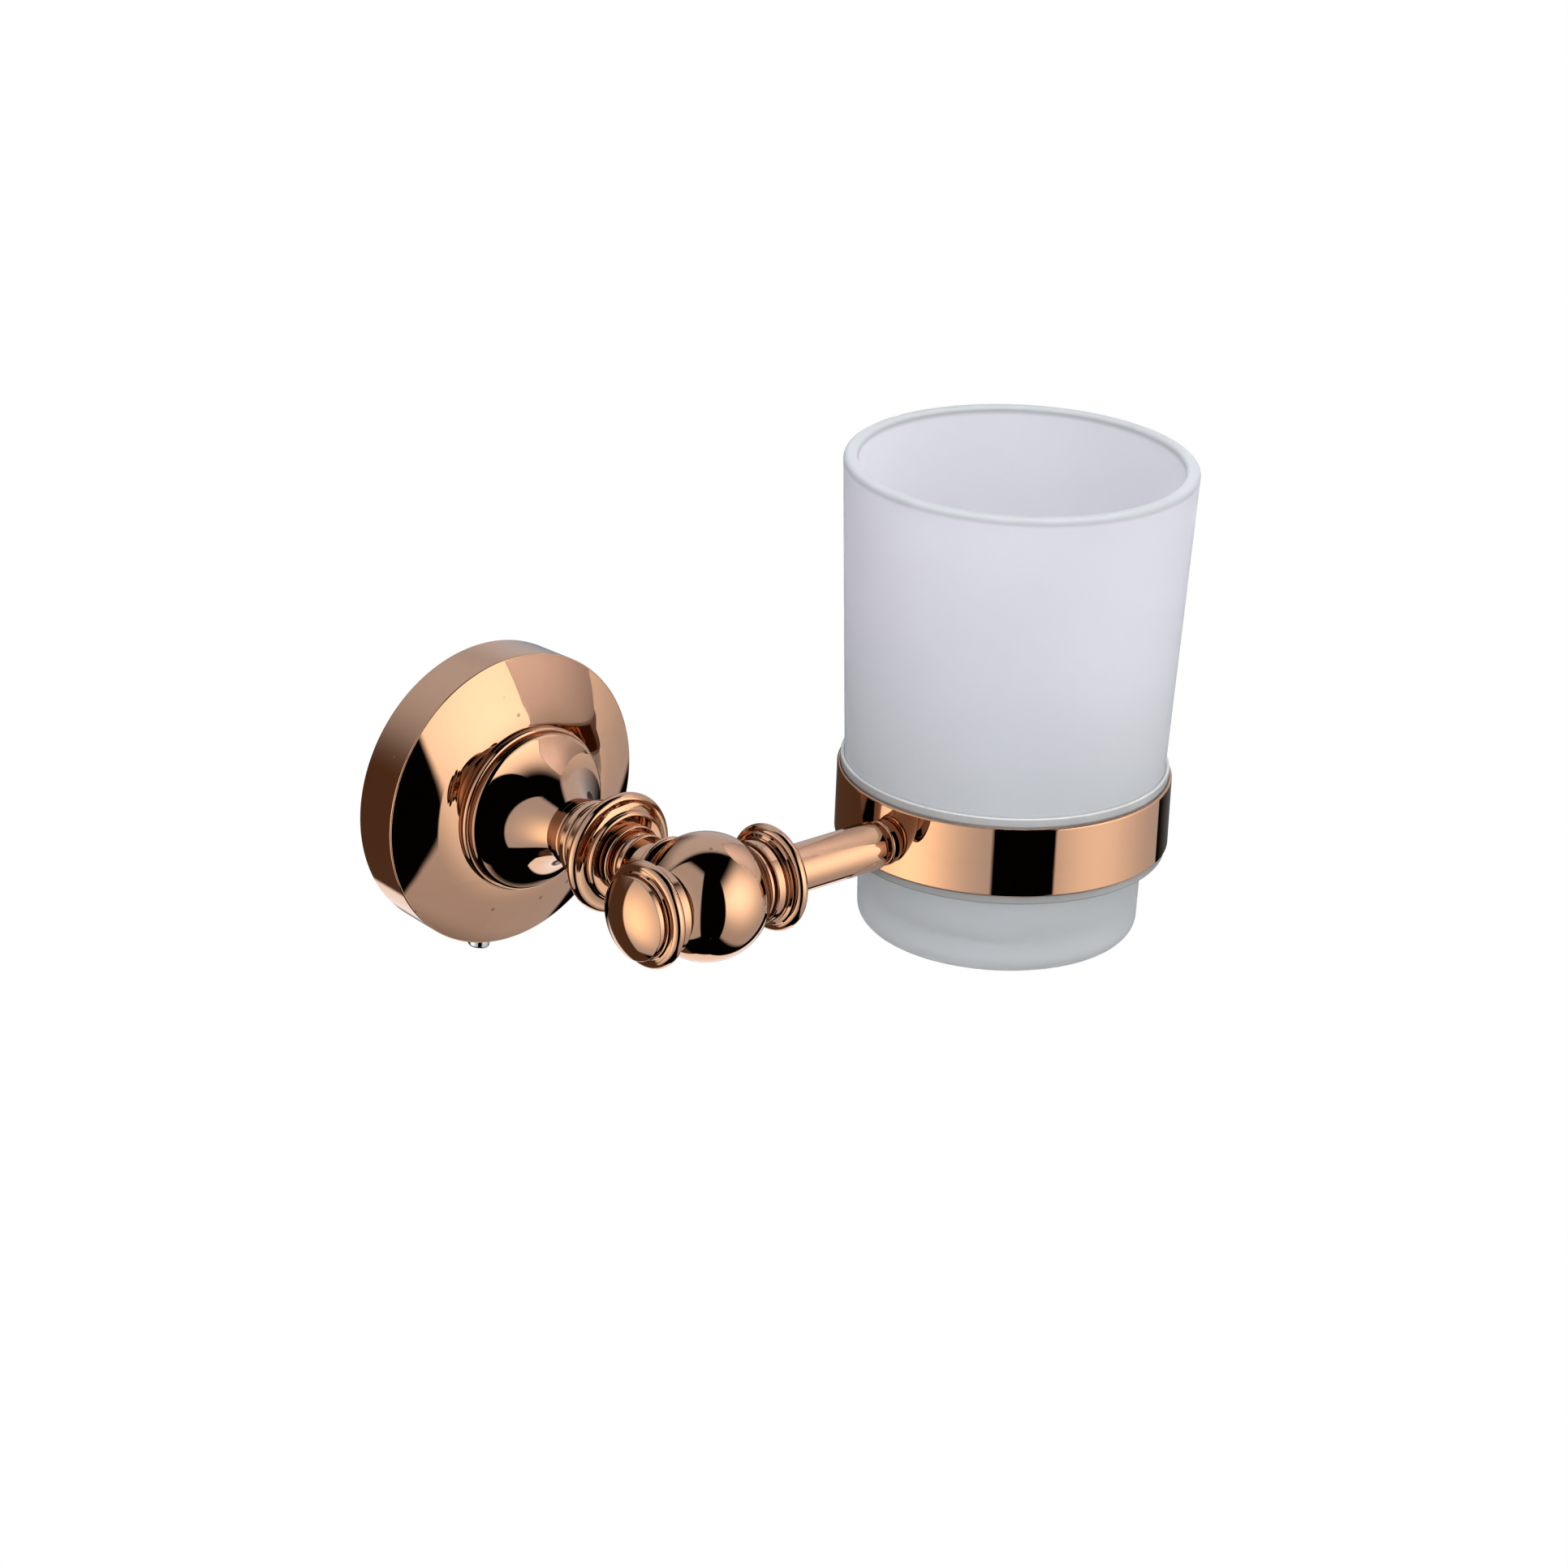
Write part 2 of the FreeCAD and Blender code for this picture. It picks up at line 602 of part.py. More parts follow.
def arm_band_ring():
    """Flat band beside the seat ring."""
    start = s.arm_seat_end
    end = s.arm_band_base
    radius = s.arm_band_radius
    return turned("arm_band_ring", bored([
        (s.arm_waist_radius, start), (s.arm_waist_radius, s.arm_band_start - 0.1),
        (radius - 0.2, s.arm_band_start), (radius, s.arm_band_start + 0.2),
        (radius, s.arm_band_end - 0.2), (radius - 0.2, s.arm_band_end),
        (s.cap_groove_radius, s.arm_band_end + 0.1), (s.cap_groove_radius, end),
    ], start, end, s.cross_bore_radius), ALONG_ARM, ball_centre())


def arm_disc():
    """Large rounded disc of the arm's collar, with a thin ring before it and a boss behind it."""
    start = s.arm_band_base
    thin = s.fillet_ring_radius
    boss = s.arm_boss_radius
    crown = s.arm_boss_round
    ring = [
        (thin - 0.25, start), (thin, start + 0.1), (thin, start + 0.35),
        (thin - 0.1, start + 0.45), (s.disc_face_radius, start + 0.7),
    ]
    rim = full_round(s.disc_radius, s.arm_disc_centre, s.disc_round)
    step = [
        (boss, s.arm_disc_end), (boss, s.arm_boss_end - crown), Arc(crown, 1),
        (boss - crown, s.arm_boss_end),
    ]
    return turned("arm_disc", bored(
        ring + rim + step, start, s.arm_boss_end, s.cross_bore_radius), ALONG_ARM, ball_centre())


def arm_rod():
    """Plain round arm with a rounded end and a narrow turned neck, bored from both ends."""
    start = s.arm_boss_end
    radius = s.arm_radius
    crown = s.arm_round
    return turned("arm_rod", [
        (s.cross_bore_radius, start), (radius, start), (radius, s.arm_end - crown), Arc(crown, 1),
        (radius - crown, s.arm_end), (s.tip_neck_radius, s.arm_end),
        (s.tip_neck_radius, s.tip_washer_start), (s.ring_screw_bore, s.tip_washer_start),
        (s.ring_screw_bore, s.ring_screw_start - 0.5), (0, s.ring_screw_start - 0.5),
        (0, s.arm_bore_end), (s.cross_bore_radius, s.arm_bore_end),
    ], ALONG_ARM, ball_centre())


def arm_tip_washer():
    """Rounded washer at the arm's tip, its far face hollowed to sit on the round band."""
    crown = s.tip_washer_round
    start = s.tip_washer_start
    radius = s.tip_washer_radius
    body = turned("arm_tip_washer", bored([
        (radius - crown, start), Arc(crown, 1), (radius, start + crown), (radius, s.tip_washer_end),
    ], start, s.tip_washer_end, s.ring_screw_bore), ALONG_ARM, ball_centre())
    drill(body, "band_saddle", "YZ_Plane", (0, s.ring_centre), s.band_radius,
          s.band_height, both=True)
    return body


def ring_screw():
    """Low-headed screw from inside the band into the arm."""
    seat = s.ring_screw_seat
    head = s.ring_screw_head
    top = seat + s.ring_screw_head_height
    body = turned("ring_screw", [
        (0, s.ring_screw_start), (s.ring_screw_radius - 0.5, s.ring_screw_start),
        (s.ring_screw_radius, s.ring_screw_start + 0.5), (s.ring_screw_radius, seat), (head, seat),
        (head, top - 0.5), Arc(0.5, 1), (head - 0.5, top), (0, top),
    ], ALONG_ARM, ball_centre())
    slot(body, "ring_screw_slot", top, s.ring_screw_head * 1.3, s.screw_slot_width,
         s.screw_slot_depth * 0.75, 90)
    return body


def ring_origin(height):
    """A place on the ring's axis, this far above (or below) the ball's centre."""
    return (s.ring_centre, s.post_reach * -1, height)


def ring_band():
    """Polished hoop with rounded edges, with a hole for the screw on the arm's side."""
    outer = s.band_radius
    inner = outer - s.band_wall
    half = s.band_wall / 2
    top = s.band_height
    body = turned("ring_band", [
        (inner, half), Arc(half, 1), (inner + half, 0), Arc(half, 1), (outer, half),
        (outer, top - half), Arc(half, 1), (inner + half, top), Arc(half, 1), (inner, top - half),
    ], UPRIGHT, ring_origin(s.band_bottom * -1))
    drill(body, "band_hole", "YZ_Plane", (0, s.band_bottom), s.band_hole_radius, outer * 1.2)
    return body


def liner_ring():
    """Plastic ring in the band, with a conical seat for the tumbler's shoulder and a lip each end."""
    lip = s.liner_lip_radius
    outer = s.liner_radius
    groove = s.liner_groove_radius
    top = s.liner_top
    band_low = s.liner_bottom - s.band_bottom
    band_high = band_low + s.band_height
    return turned("liner_ring", [
        (s.liner_bore_radius + 0.3, 0), (lip - 0.5, 0), Arc(0.5, 1), (lip, 0.5),
        (lip, band_low - 0.3), (outer, band_low - 0.1),
        (outer, s.liner_groove_start), (groove, s.liner_groove_start + 0.6),
        (groove, s.liner_groove_end - 0.6), (outer, s.liner_groove_end),
        (outer, band_high + 0.1), (lip, band_high + 0.3), (lip, top - 0.25), Arc(0.25, 1),
        (lip - 0.25, top), (s.liner_mouth_radius, top), (s.liner_mouth_radius, top - 1.0),
        (s.liner_mouth_radius - 0.6, top - 2.1), (s.liner_bore_radius, s.liner_seat_start),
        (s.liner_bore_radius, 0.3),
    ], UPRIGHT, ring_origin(s.liner_bottom * -1))


def tumbler():
    """Frosted glass tumbler: narrow foot, a shoulder that rests in the liner and a flared body."""
    rim = s.tumbler_rim_radius
    top = s.tumbler_height
    lip = s.tumbler_rim_round
    foot = s.tumbler_foot_radius
    heel = s.tumbler_foot_round
    wall = s.tumbler_wall
    waist = s.tumbler_waist_radius
    return turned("tumbler", [
        (0, 0.5), (foot - heel - 2.0, 0.5), (foot - heel - 1.2, 0), (foot - heel, 0), Arc(heel, 1),
        (foot, heel), (waist, s.tumbler_waist_height),
        (s.tumbler_shoulder_radius, s.tumbler_shoulder_height), Arc(s.tumbler_shoulder_arc, 1),
        (s.tumbler_body_radius, s.tumbler_body_height), (rim, top - lip), Arc(lip, 1),
        (rim - lip, top), (rim - s.tumbler_rim_wall + lip * 0.6, top), Arc(lip * 0.75, 1),
        (rim - s.tumbler_rim_wall, top - lip * 0.7),
        (s.tumbler_body_radius - wall, s.tumbler_body_height + 1.5), Arc(7.0, -1),
        (waist - wall, s.tumbler_waist_height - 1.0),
        (foot - wall, s.tumbler_floor + s.tumbler_inner_round), Arc(s.tumbler_inner_round, -1),
        (foot - wall - s.tumbler_inner_round, s.tumbler_floor), (0, s.tumbler_floor),
    ], UPRIGHT, ring_origin(s.tumbler_base * -1))


def build():
    """Every piece of the holder, in the order it goes together on the bench."""
    return [
        wall_bracket(), flange_shell(), set_screw(), bead_ring(), dome_boss(), neck_sleeve(),
        post_collar(), step_cone(), post_neck(), ball_seat_ring(),
        stud("post_stud", s.stud_radius, s.stud_start, s.stud_end, ALONG_POST, (0, 0, 0)),
        post_nut(), lock_washer(), ball_hub(), finial_ring(), finial_disc(), finial_cap(),
        stud("cross_stud", s.cross_stud_radius, Size.of(0), s.cap_bore_end + s.arm_bore_end - 1.5,
             ALONG_ARM, (s.cap_bore_end * -1 + 0.5, s.post_reach * -1, 0)),
        arm_seat_ring(), arm_band_ring(), arm_disc(), arm_rod(), arm_tip_washer(), ring_screw(),
        ring_band(), liner_ring(), tumbler(),
    ]


def check_document():
    """Stop if any object of the document failed to compute."""
    for item in doc.Objects:
        if "Invalid" in item.State or "Error" in item.State:
            raise ValueError(f"{item.Label} is {item.State}")


def export(pieces):
    """Write each piece's solid to parts/, named by its label."""
    os.makedirs("parts", exist_ok=True)
    for piece in pieces:
        shape = piece.Shape
        if shape.isNull() or not shape.isValid() or not shape.Solids:
            raise ValueError(f"{piece.Label} is not a valid solid")
        shape.exportStep(f"parts/{piece.Label}.step")
        box = shape.BoundBox
        print(f"{piece.Label:16s} solids {len(shape.Solids)} volume {shape.Volume:10.2f}  "
              f"x {box.XMin:7.2f} {box.XMax:7.2f}  y {box.YMin:7.2f} {box.YMax:7.2f}  "
              f"z {box.ZMin:7.2f} {box.ZMax:7.2f}")


pieces = build()
doc.recompute()
check_document()
export(pieces)
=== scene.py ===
"""The looks of a wall-mounted tumbler holder: polished rose-gold turnings, a cloudy liner, frosted glass.

Every piece is drawn in the row frame: the wall is the plane y = 0, the post runs along -Y, the arm
along +X from the ball, and +Z is up.  Sizes are in millimetres and become metres when a mesh is made.
"""

import logging
import math
from dataclasses import dataclass, field
from enum import Enum
from typing import Optional, Sequence, Union

import bmesh
import bpy
import numpy as np
from mathutils import Matrix, Vector


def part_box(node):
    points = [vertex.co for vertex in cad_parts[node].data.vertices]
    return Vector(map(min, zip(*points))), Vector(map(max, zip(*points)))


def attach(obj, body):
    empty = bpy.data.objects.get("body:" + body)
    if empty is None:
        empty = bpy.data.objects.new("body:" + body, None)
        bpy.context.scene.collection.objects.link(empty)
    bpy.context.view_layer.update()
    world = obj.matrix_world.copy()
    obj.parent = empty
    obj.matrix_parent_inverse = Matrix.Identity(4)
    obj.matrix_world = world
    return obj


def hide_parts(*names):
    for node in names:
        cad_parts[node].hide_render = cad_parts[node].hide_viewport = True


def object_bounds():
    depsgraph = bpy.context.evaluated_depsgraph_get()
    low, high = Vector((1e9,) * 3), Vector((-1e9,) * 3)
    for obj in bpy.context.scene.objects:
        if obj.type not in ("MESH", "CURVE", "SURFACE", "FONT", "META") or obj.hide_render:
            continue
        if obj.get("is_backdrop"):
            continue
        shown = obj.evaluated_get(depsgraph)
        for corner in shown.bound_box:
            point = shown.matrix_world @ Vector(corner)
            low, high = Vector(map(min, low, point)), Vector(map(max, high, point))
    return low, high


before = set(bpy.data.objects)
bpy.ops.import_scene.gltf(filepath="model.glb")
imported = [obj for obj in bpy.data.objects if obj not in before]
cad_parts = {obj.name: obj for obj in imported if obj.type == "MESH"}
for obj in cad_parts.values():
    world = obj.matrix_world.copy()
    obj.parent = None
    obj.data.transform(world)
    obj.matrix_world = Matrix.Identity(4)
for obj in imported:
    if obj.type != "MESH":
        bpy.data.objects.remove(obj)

LOG = logging.getLogger("tumbler_holder")
MM = 0.001
# Points that a cut leaves nearer than this, in metres, become one.
WELD = 1.0e-6
# A radius below this, in millimetres, lies on the axle itself.
ON_AXLE = 1.0e-6
FULL_TURN = 2.0 * math.pi
FLOAT, VECTOR = "NodeSocketFloat", "NodeSocketVector"
Colour = tuple[float, float, float]
Place = tuple[float, float, float]
Point = tuple[float, float]


class Direction(Enum):
    """The axes that pieces are turned about, each pointing away from where its sizes start."""

    POST = (0.0, -1.0, 0.0)
    ARM = (1.0, 0.0, 0.0)
    FINIAL = (-1.0, 0.0, 0.0)
    UP = (0.0, 0.0, 1.0)


class Body(Enum):
    """The CAD bodies that pieces ride on."""

    HOLDER = "holder"
    LINER = "liner"
    TUMBLER = "tumbler"
    SET_SCREW = "set_screw"


# ----------------------------------------------------------------------------- outlines and meshes


@dataclass(frozen=True)
class Arc:
    """An arc of an outline, between the corners before and after it.

    bend is +1 where the outline turns left along the arc and -1 where it turns right.
    """

    radius: float
    bend: int = 1


Outline = list[Union[Point, Arc]]


@dataclass(frozen=True)
class Axle:
    """Where a turned piece's own axis lies: its start, in millimetres, and its direction."""

    start: Vector
    direction: Vector

    @staticmethod
    def along(direction: Direction, start: Sequence[float] = (0.0, 0.0, 0.0)) -> "Axle":
        """An axle along one of the named directions."""
        return Axle(Vector(start), Vector(direction.value))

    def turn(self) -> Matrix:
        """The rotation that carries +Z onto the axle's direction."""
        return self.direction.to_track_quat("Z", "Y").to_matrix()

    def matrix(self) -> Matrix:
        """The transform from the axle's own millimetres to the row frame's metres."""
        scale = Matrix.Diagonal((MM, MM, MM, 1.0))
        return scale @ Matrix.Translation(self.start) @ self.turn().to_4x4()


class Profile:
    """A closed outline cut into short segments, each with the exact normals at its two ends."""

    FINE_STEP = math.radians(3.0)
    COARSE_STEP = math.radians(11.0)
    SMALL_RADIUS = 2.0
    CORNER = math.radians(14.0)
    SOFTEN_STEPS = 4
    SOFTEN_SHARE = 0.3
    SAME_FACING = 0.9
    SAME_PLACE = 0.05
    TINY = 1.0e-9

    def __init__(self, outline: Outline, soften: float = 0.06) -> None:
        """Cut the outline up and soften its outer corners.

        Args:
            outline: corners (radius, along) in millimetres, anticlockwise, with an Arc where it curves.
            soften: how far a worn, polished edge is rounded back from each outer corner.
        """
        spans = self._spans(outline)
        if soften > 0.0:
            spans = self._softened(spans, soften)
        points, first, last = [], [], []
        for places, normals in spans:
            for index in range(len(places) - 1):
                points.append(places[index])
                first.append(normals[index])
                last.append(normals[index + 1])
        self.points = np.array(points)
        self.first = np.array(first)
        self.last = np.array(last)

    def _spans(self, outline: Outline) -> list[tuple[np.ndarray, np.ndarray]]:
        """Every line and arc of the outline as its places and its outward normals."""
        corners = [np.array(item, float) for item in outline if not isinstance(item, Arc)]
        arcs = {}
        count = 0
        for item in outline:
            if isinstance(item, Arc):
                arcs[count - 1] = item
            else:
                count += 1
        spans = []
        for index, start in enumerate(corners):
            end = corners[(index + 1) % len(corners)]
            if index in arcs:
                spans.append(self._curve(start, end, arcs[index]))
            else:
                along = (end - start) / np.linalg.norm(end - start)
                normal = np.array([along[1], -along[0]])
                spans.append((np.array([start, end]), np.array([normal, normal])))
        return spans

    def _curve(self, start: np.ndarray, end: np.ndarray, arc: Arc) -> tuple[np.ndarray, np.ndarray]:
        """One arc as points with the normals of its circle."""
        chord = end - start
        half = np.linalg.norm(chord) / 2.0
        rise = math.sqrt(max(arc.radius ** 2 - half ** 2, 0.0))
        across = np.array([-chord[1], chord[0]]) / (2.0 * half)
        centre = (start + end) / 2.0 + across * rise * arc.bend
        begin = math.atan2(*(start - centre)[::-1])
        finish = math.atan2(*(end - centre)[::-1])
        sweep = (finish - begin) * arc.bend % FULL_TURN * arc.bend
        step = self.COARSE_STEP if arc.radius < self.SMALL_RADIUS else self.FINE_STEP
        count = max(3, math.ceil(abs(sweep) / step))
        angles = begin + sweep * np.linspace(0.0, 1.0, count + 1)
        rays = np.stack([np.cos(angles), np.sin(angles)], 1)
        places = centre + rays * arc.radius
        places[0], places[-1] = start, end
        return places, rays * arc.bend

    def _softened(self, spans: list, soften: float) -> list:
        """The spans with a small round put in at each outer corner."""
        lengths = [np.linalg.norm(np.diff(places, axis=0), axis=1).sum() for places, _ in spans]
        trims = [[0.0, 0.0] for _ in spans]
        corners = []
        for index in range(len(spans)):
            after = (index + 1) % len(spans)
            before_normal, after_normal = spans[index][1][-1], spans[after][1][0]
            place = spans[index][0][-1]
            turn = math.atan2(before_normal[0] * after_normal[1] - before_normal[1] * after_normal[0],
                              float(before_normal @ after_normal))
            if turn > self.CORNER and place[0] > ON_AXLE:
                back = min(soften, self.SOFTEN_SHARE * lengths[index], self.SOFTEN_SHARE * lengths[after])
                trims[index][1] = back
                trims[after][0] = back
                corners.append(index)
        cut = [self._trimmed(*span, *trim) for span, trim in zip(spans, trims)]
        result = []
        for index, span in enumerate(cut):
            result.append(span)
            if index in corners:
                follower = cut[(index + 1) % len(cut)]
                result.append(self._round(span, spans[index][0][-1], follower))
        return result

    def _trimmed(self, places: np.ndarray, normals: np.ndarray, front: float, back: float) -> tuple:
        """A span with a length taken off each end."""
        steps = np.concatenate([[0.0], np.cumsum(np.linalg.norm(np.diff(places, axis=0), axis=1))])
        low, high = front, steps[-1] - back
        inner = steps[(steps > low + self.TINY) & (steps < high - self.TINY)]
        wanted = np.concatenate([[low], inner, [high]])
        place = np.stack([np.interp(wanted, steps, places[:, axis]) for axis in (0, 1)], 1)
        normal = np.stack([np.interp(wanted, steps, normals[:, axis]) for axis in (0, 1)], 1)
        return place, normal / np.linalg.norm(normal, axis=1)[:, None]

    def _round(self, before: tuple, corner: np.ndarray, after: tuple) -> tuple:
        """The small round between two trimmed spans, as a curve pulled towards the old corner."""
        start, end = before[0][-1], after[0][0]
        share = np.linspace(0.0, 1.0, self.SOFTEN_STEPS + 1)[:, None]
        places = start * (1 - share) ** 2 + corner * 2 * share * (1 - share) + end * share ** 2
        tangent = (corner - start) * (1 - share) + (end - corner) * share
        normals = np.stack([tangent[:, 1], -tangent[:, 0]], 1)
        return places, normals / np.linalg.norm(normals, axis=1)[:, None]

    def normals_near(self, place: np.ndarray, facing: np.ndarray,
                     corners: np.ndarray) -> Optional[np.ndarray]:
        """The outline's normals at some corners of a face, if the face belongs to the outline.

        Args:
            place: the face's centre as (radius, along).
            facing: the face's own normal as (radial, along).
            corners: the face's corners as rows of (radius, along).

        Returns:
            One (radial, along) normal a corner, or None where the face was cut by a tool.
        """
        ends = np.roll(self.points, -1, axis=0)
        run = ends - self.points
        square = np.maximum((run ** 2).sum(1), self.TINY)
        share = np.clip(((place - self.points) * run).sum(1) / square, 0.0, 1.0)
        gap = np.linalg.norm(self.points + run * share[:, None] - place, axis=1)
        middle = self.first + self.last
        middle /= np.linalg.norm(middle, axis=1)[:, None]
        gap = np.where(middle @ facing > self.SAME_FACING, gap, np.inf)
        best = int(gap.argmin())
        if gap[best] > self.SAME_PLACE:
            return None
        share = np.clip(((corners - self.points[best]) * run[best]).sum(1) / square[best], 0.0, 1.0)
        normals = self.first[best] * (1 - share)[:, None] + self.last[best] * share[:, None]
        return normals / np.linalg.norm(normals, axis=1)[:, None]


def new_object(name: str, mesh: bpy.types.Mesh) -> bpy.types.Object:
    """A mesh as an object in the scene."""
    item = bpy.data.objects.new(name, mesh)
    bpy.context.scene.collection.objects.link(item)
    return item


def turned(name: str, profile: Profile, axle: Axle, sides: int = 128) -> bpy.types.Object:
    """Revolve a profile about an axle, with the exact normals of the turned surface.

    Args:
        name: the piece's name.
        profile: the closed outline.
        axle: where the outline's axis lies.
        sides: how many steps go round.

    Returns:
        The new object, its mesh in the row frame.
    """
    angles = np.linspace(0.0, FULL_TURN, sides, endpoint=False)
    rays = np.stack([np.cos(angles), np.sin(angles)], 1)
    rows, places = [], []
    for radius, along in profile.points:
        if radius < ON_AXLE:
            rows.append(np.full(sides, len(places)))
            places.append((0.0, 0.0, along))
        else:
            rows.append(np.arange(len(places), len(places) + sides))
            places.extend((radius * c, radius * s, along) for c, s in rays)
    faces, normals = [], []
    count = len(profile.points)
    for row in range(count):
        after = (row + 1) % count
        start, end = profile.points[row][0] > ON_AXLE, profile.points[after][0] > ON_AXLE
        if not (start or end):
            continue
        (r0, z0), (r1, z1) = profile.first[row], profile.last[row]
        for side in range(sides):
            beside = (side + 1) % sides
            (c0, s0), (c1, s1) = rays[side], rays[beside]
            low = [(rows[row][side], (r0 * c0, r0 * s0, z0)),
                   (rows[row][beside], (r0 * c1, r0 * s1, z0))]
            high = [(rows[after][beside], (r1 * c1, r1 * s1, z1)),
                    (rows[after][side], (r1 * c0, r1 * s0, z1))]
            corners = (low if start else low[:1]) + (high if end else high[:1])
            faces.append([int(corner[0]) for corner in corners])
            normals.extend(corner[1] for corner in corners)
    mesh = bpy.data.meshes.new(name)
    mesh.from_pydata(places, [], faces)
    mesh.transform(axle.matrix())
    turn = np.array(axle.turn())
    dress_normals(mesh, np.array(normals) @ turn.T)
    return new_object(name, mesh)


def dress_normals(mesh: bpy.types.Mesh, normals: np.ndarray) -> None:
    """Give every face corner of a mesh its own normal."""
    mesh.polygons.foreach_set("use_smooth", [True] * len(mesh.polygons))
    mesh.update()
    mesh.normals_split_custom_set([tuple(normal) for normal in normals])


def smooth_by_angle(mesh: bpy.types.Mesh, degrees: float = 35.0) -> None:
    """Shade a mesh smooth, with its sharper edges kept crisp."""
    mesh.polygons.foreach_set("use_smooth", [True] * len(mesh.polygons))
    mesh.set_sharp_from_angle(angle=math.radians(degrees))


def carve(item: bpy.types.Object, tools: Sequence[bpy.types.Object], operation: str = "DIFFERENCE") -> None:
    """Cut tools out of a piece for good, weld the slivers left, and take the tools away.

    Args:
        item: the piece to cut.
        tools: closed meshes in the row frame.
        operation: DIFFERENCE to cut away, INTERSECT to keep what lies inside.
    """
    for tool in tools:
        cut = item.modifiers.new("cut", "BOOLEAN")
        cut.operation = operation
        cut.solver = "EXACT"
        cut.object = tool
    bpy.context.view_layer.update()
    graph = bpy.context.evaluated_depsgraph_get()
    mesh = bpy.data.meshes.new_from_object(item.evaluated_get(graph))
    mesh.name = item.name
    clean = bmesh.new()
    clean.from_mesh(mesh)
    bmesh.ops.remove_doubles(clean, verts=clean.verts, dist=WELD)
    bmesh.ops.dissolve_degenerate(clean, edges=clean.edges, dist=WELD)
    clean.to_mesh(mesh)
    clean.free()
    item.modifiers.clear()
    item.data = mesh
    for tool in tools:
        bpy.data.objects.remove(tool)


def refine_normals(item: bpy.types.Object, profile: Profile, axle: Axle) -> None:
    """After a cut, put the exact turned normals back on every face that the lathe left.

    Args:
        item: the piece, already cut.
        profile: the outline that it was turned from.
        axle: where that outline's axis lies.
    """
    mesh = item.data
    inverse = np.array(axle.matrix().inverted())
    turn = np.array(axle.turn())
    places = np.array([vertex.co for vertex in mesh.vertices]) @ inverse[:3, :3].T + inverse[:3, 3]
    result = []
    for face in mesh.polygons:
        corners = places[list(face.vertices)]
        centre = corners.mean(0)
        outward = np.array(face.normal) @ turn
        reach = math.hypot(centre[0], centre[1])
        radial = (outward[:2] @ centre[:2]) / reach if reach > ON_AXLE else 0.0
        flat = np.hypot(corners[:, 0], corners[:, 1])
        found = profile.normals_near(np.array([reach, centre[2]]), np.array([radial, outward[2]]),
                                     np.stack([flat, corners[:, 2]], 1))
        if found is None:
            result.extend([outward] * len(corners))
            continue
        for (radial, along), corner, reach in zip(found, corners, flat):
            ray = corner[:2] / reach if reach > ON_AXLE else np.zeros(2)
            result.append(np.array([radial * ray[0], radial * ray[1], along]))
    dress_normals(mesh, np.array(result) @ turn.T)


def rod_tool(start: Vector, end: Vector, radius: float, sides: int = 64,
             end_radius: Optional[float] = None) -> bpy.types.Object:
    """A round cutting tool between two places in millimetres.

    Args:
        start: the middle of its first end.
        end: the middle of its last end.
        radius: its radius, or its first end's where it tapers.
        sides: how many steps go round.
        end_radius: the last end's radius, or None for a straight tool.

    Returns:
        The closed tool.
    """
    reach = Vector(end) - Vector(start)
    axle = Axle(Vector(start), reach.normalized())
    length = reach.length
    far = radius if end_radius is None else end_radius
    outline = [(0.0, 0.0), (radius, 0.0), (far, length), (0.0, length)]
    return turned("tool", Profile(outline, 0.0), axle, sides)


def block_tool(axle: Axle, height: float, length: float, width: float, depth: float,
               degrees: float) -> bpy.types.Object:
    """A straight slot cutter across the end of a screw.

    Args:
        axle: the screw's axle.
        height: where the screw's end lies along the axle.
        length: the slot's length.
        width: the slot's width.
        depth: how deep the slot goes.
        degrees: the slot's turn about the axle.

    Returns:
        A box that reaches past the screw's end.
    """
    x, y = length / 2.0, width / 2.0
    low, high = height - depth, height + depth
    square = ((-x, -y), (x, -y), (x, y), (-x, y))
    corners = [(*corner, z) for z in (low, high) for corner in square]
    faces = [(3, 2, 1, 0), (4, 5, 6, 7), (0, 1, 5, 4), (1, 2, 6, 5), (2, 3, 7, 6), (3, 0, 4, 7)]
    mesh = bpy.data.meshes.new("tool")
    mesh.from_pydata(corners, [], faces)
    mesh.transform(axle.matrix() @ Matrix.Rotation(math.radians(degrees), 4, "Z"))
    return new_object("tool", mesh)


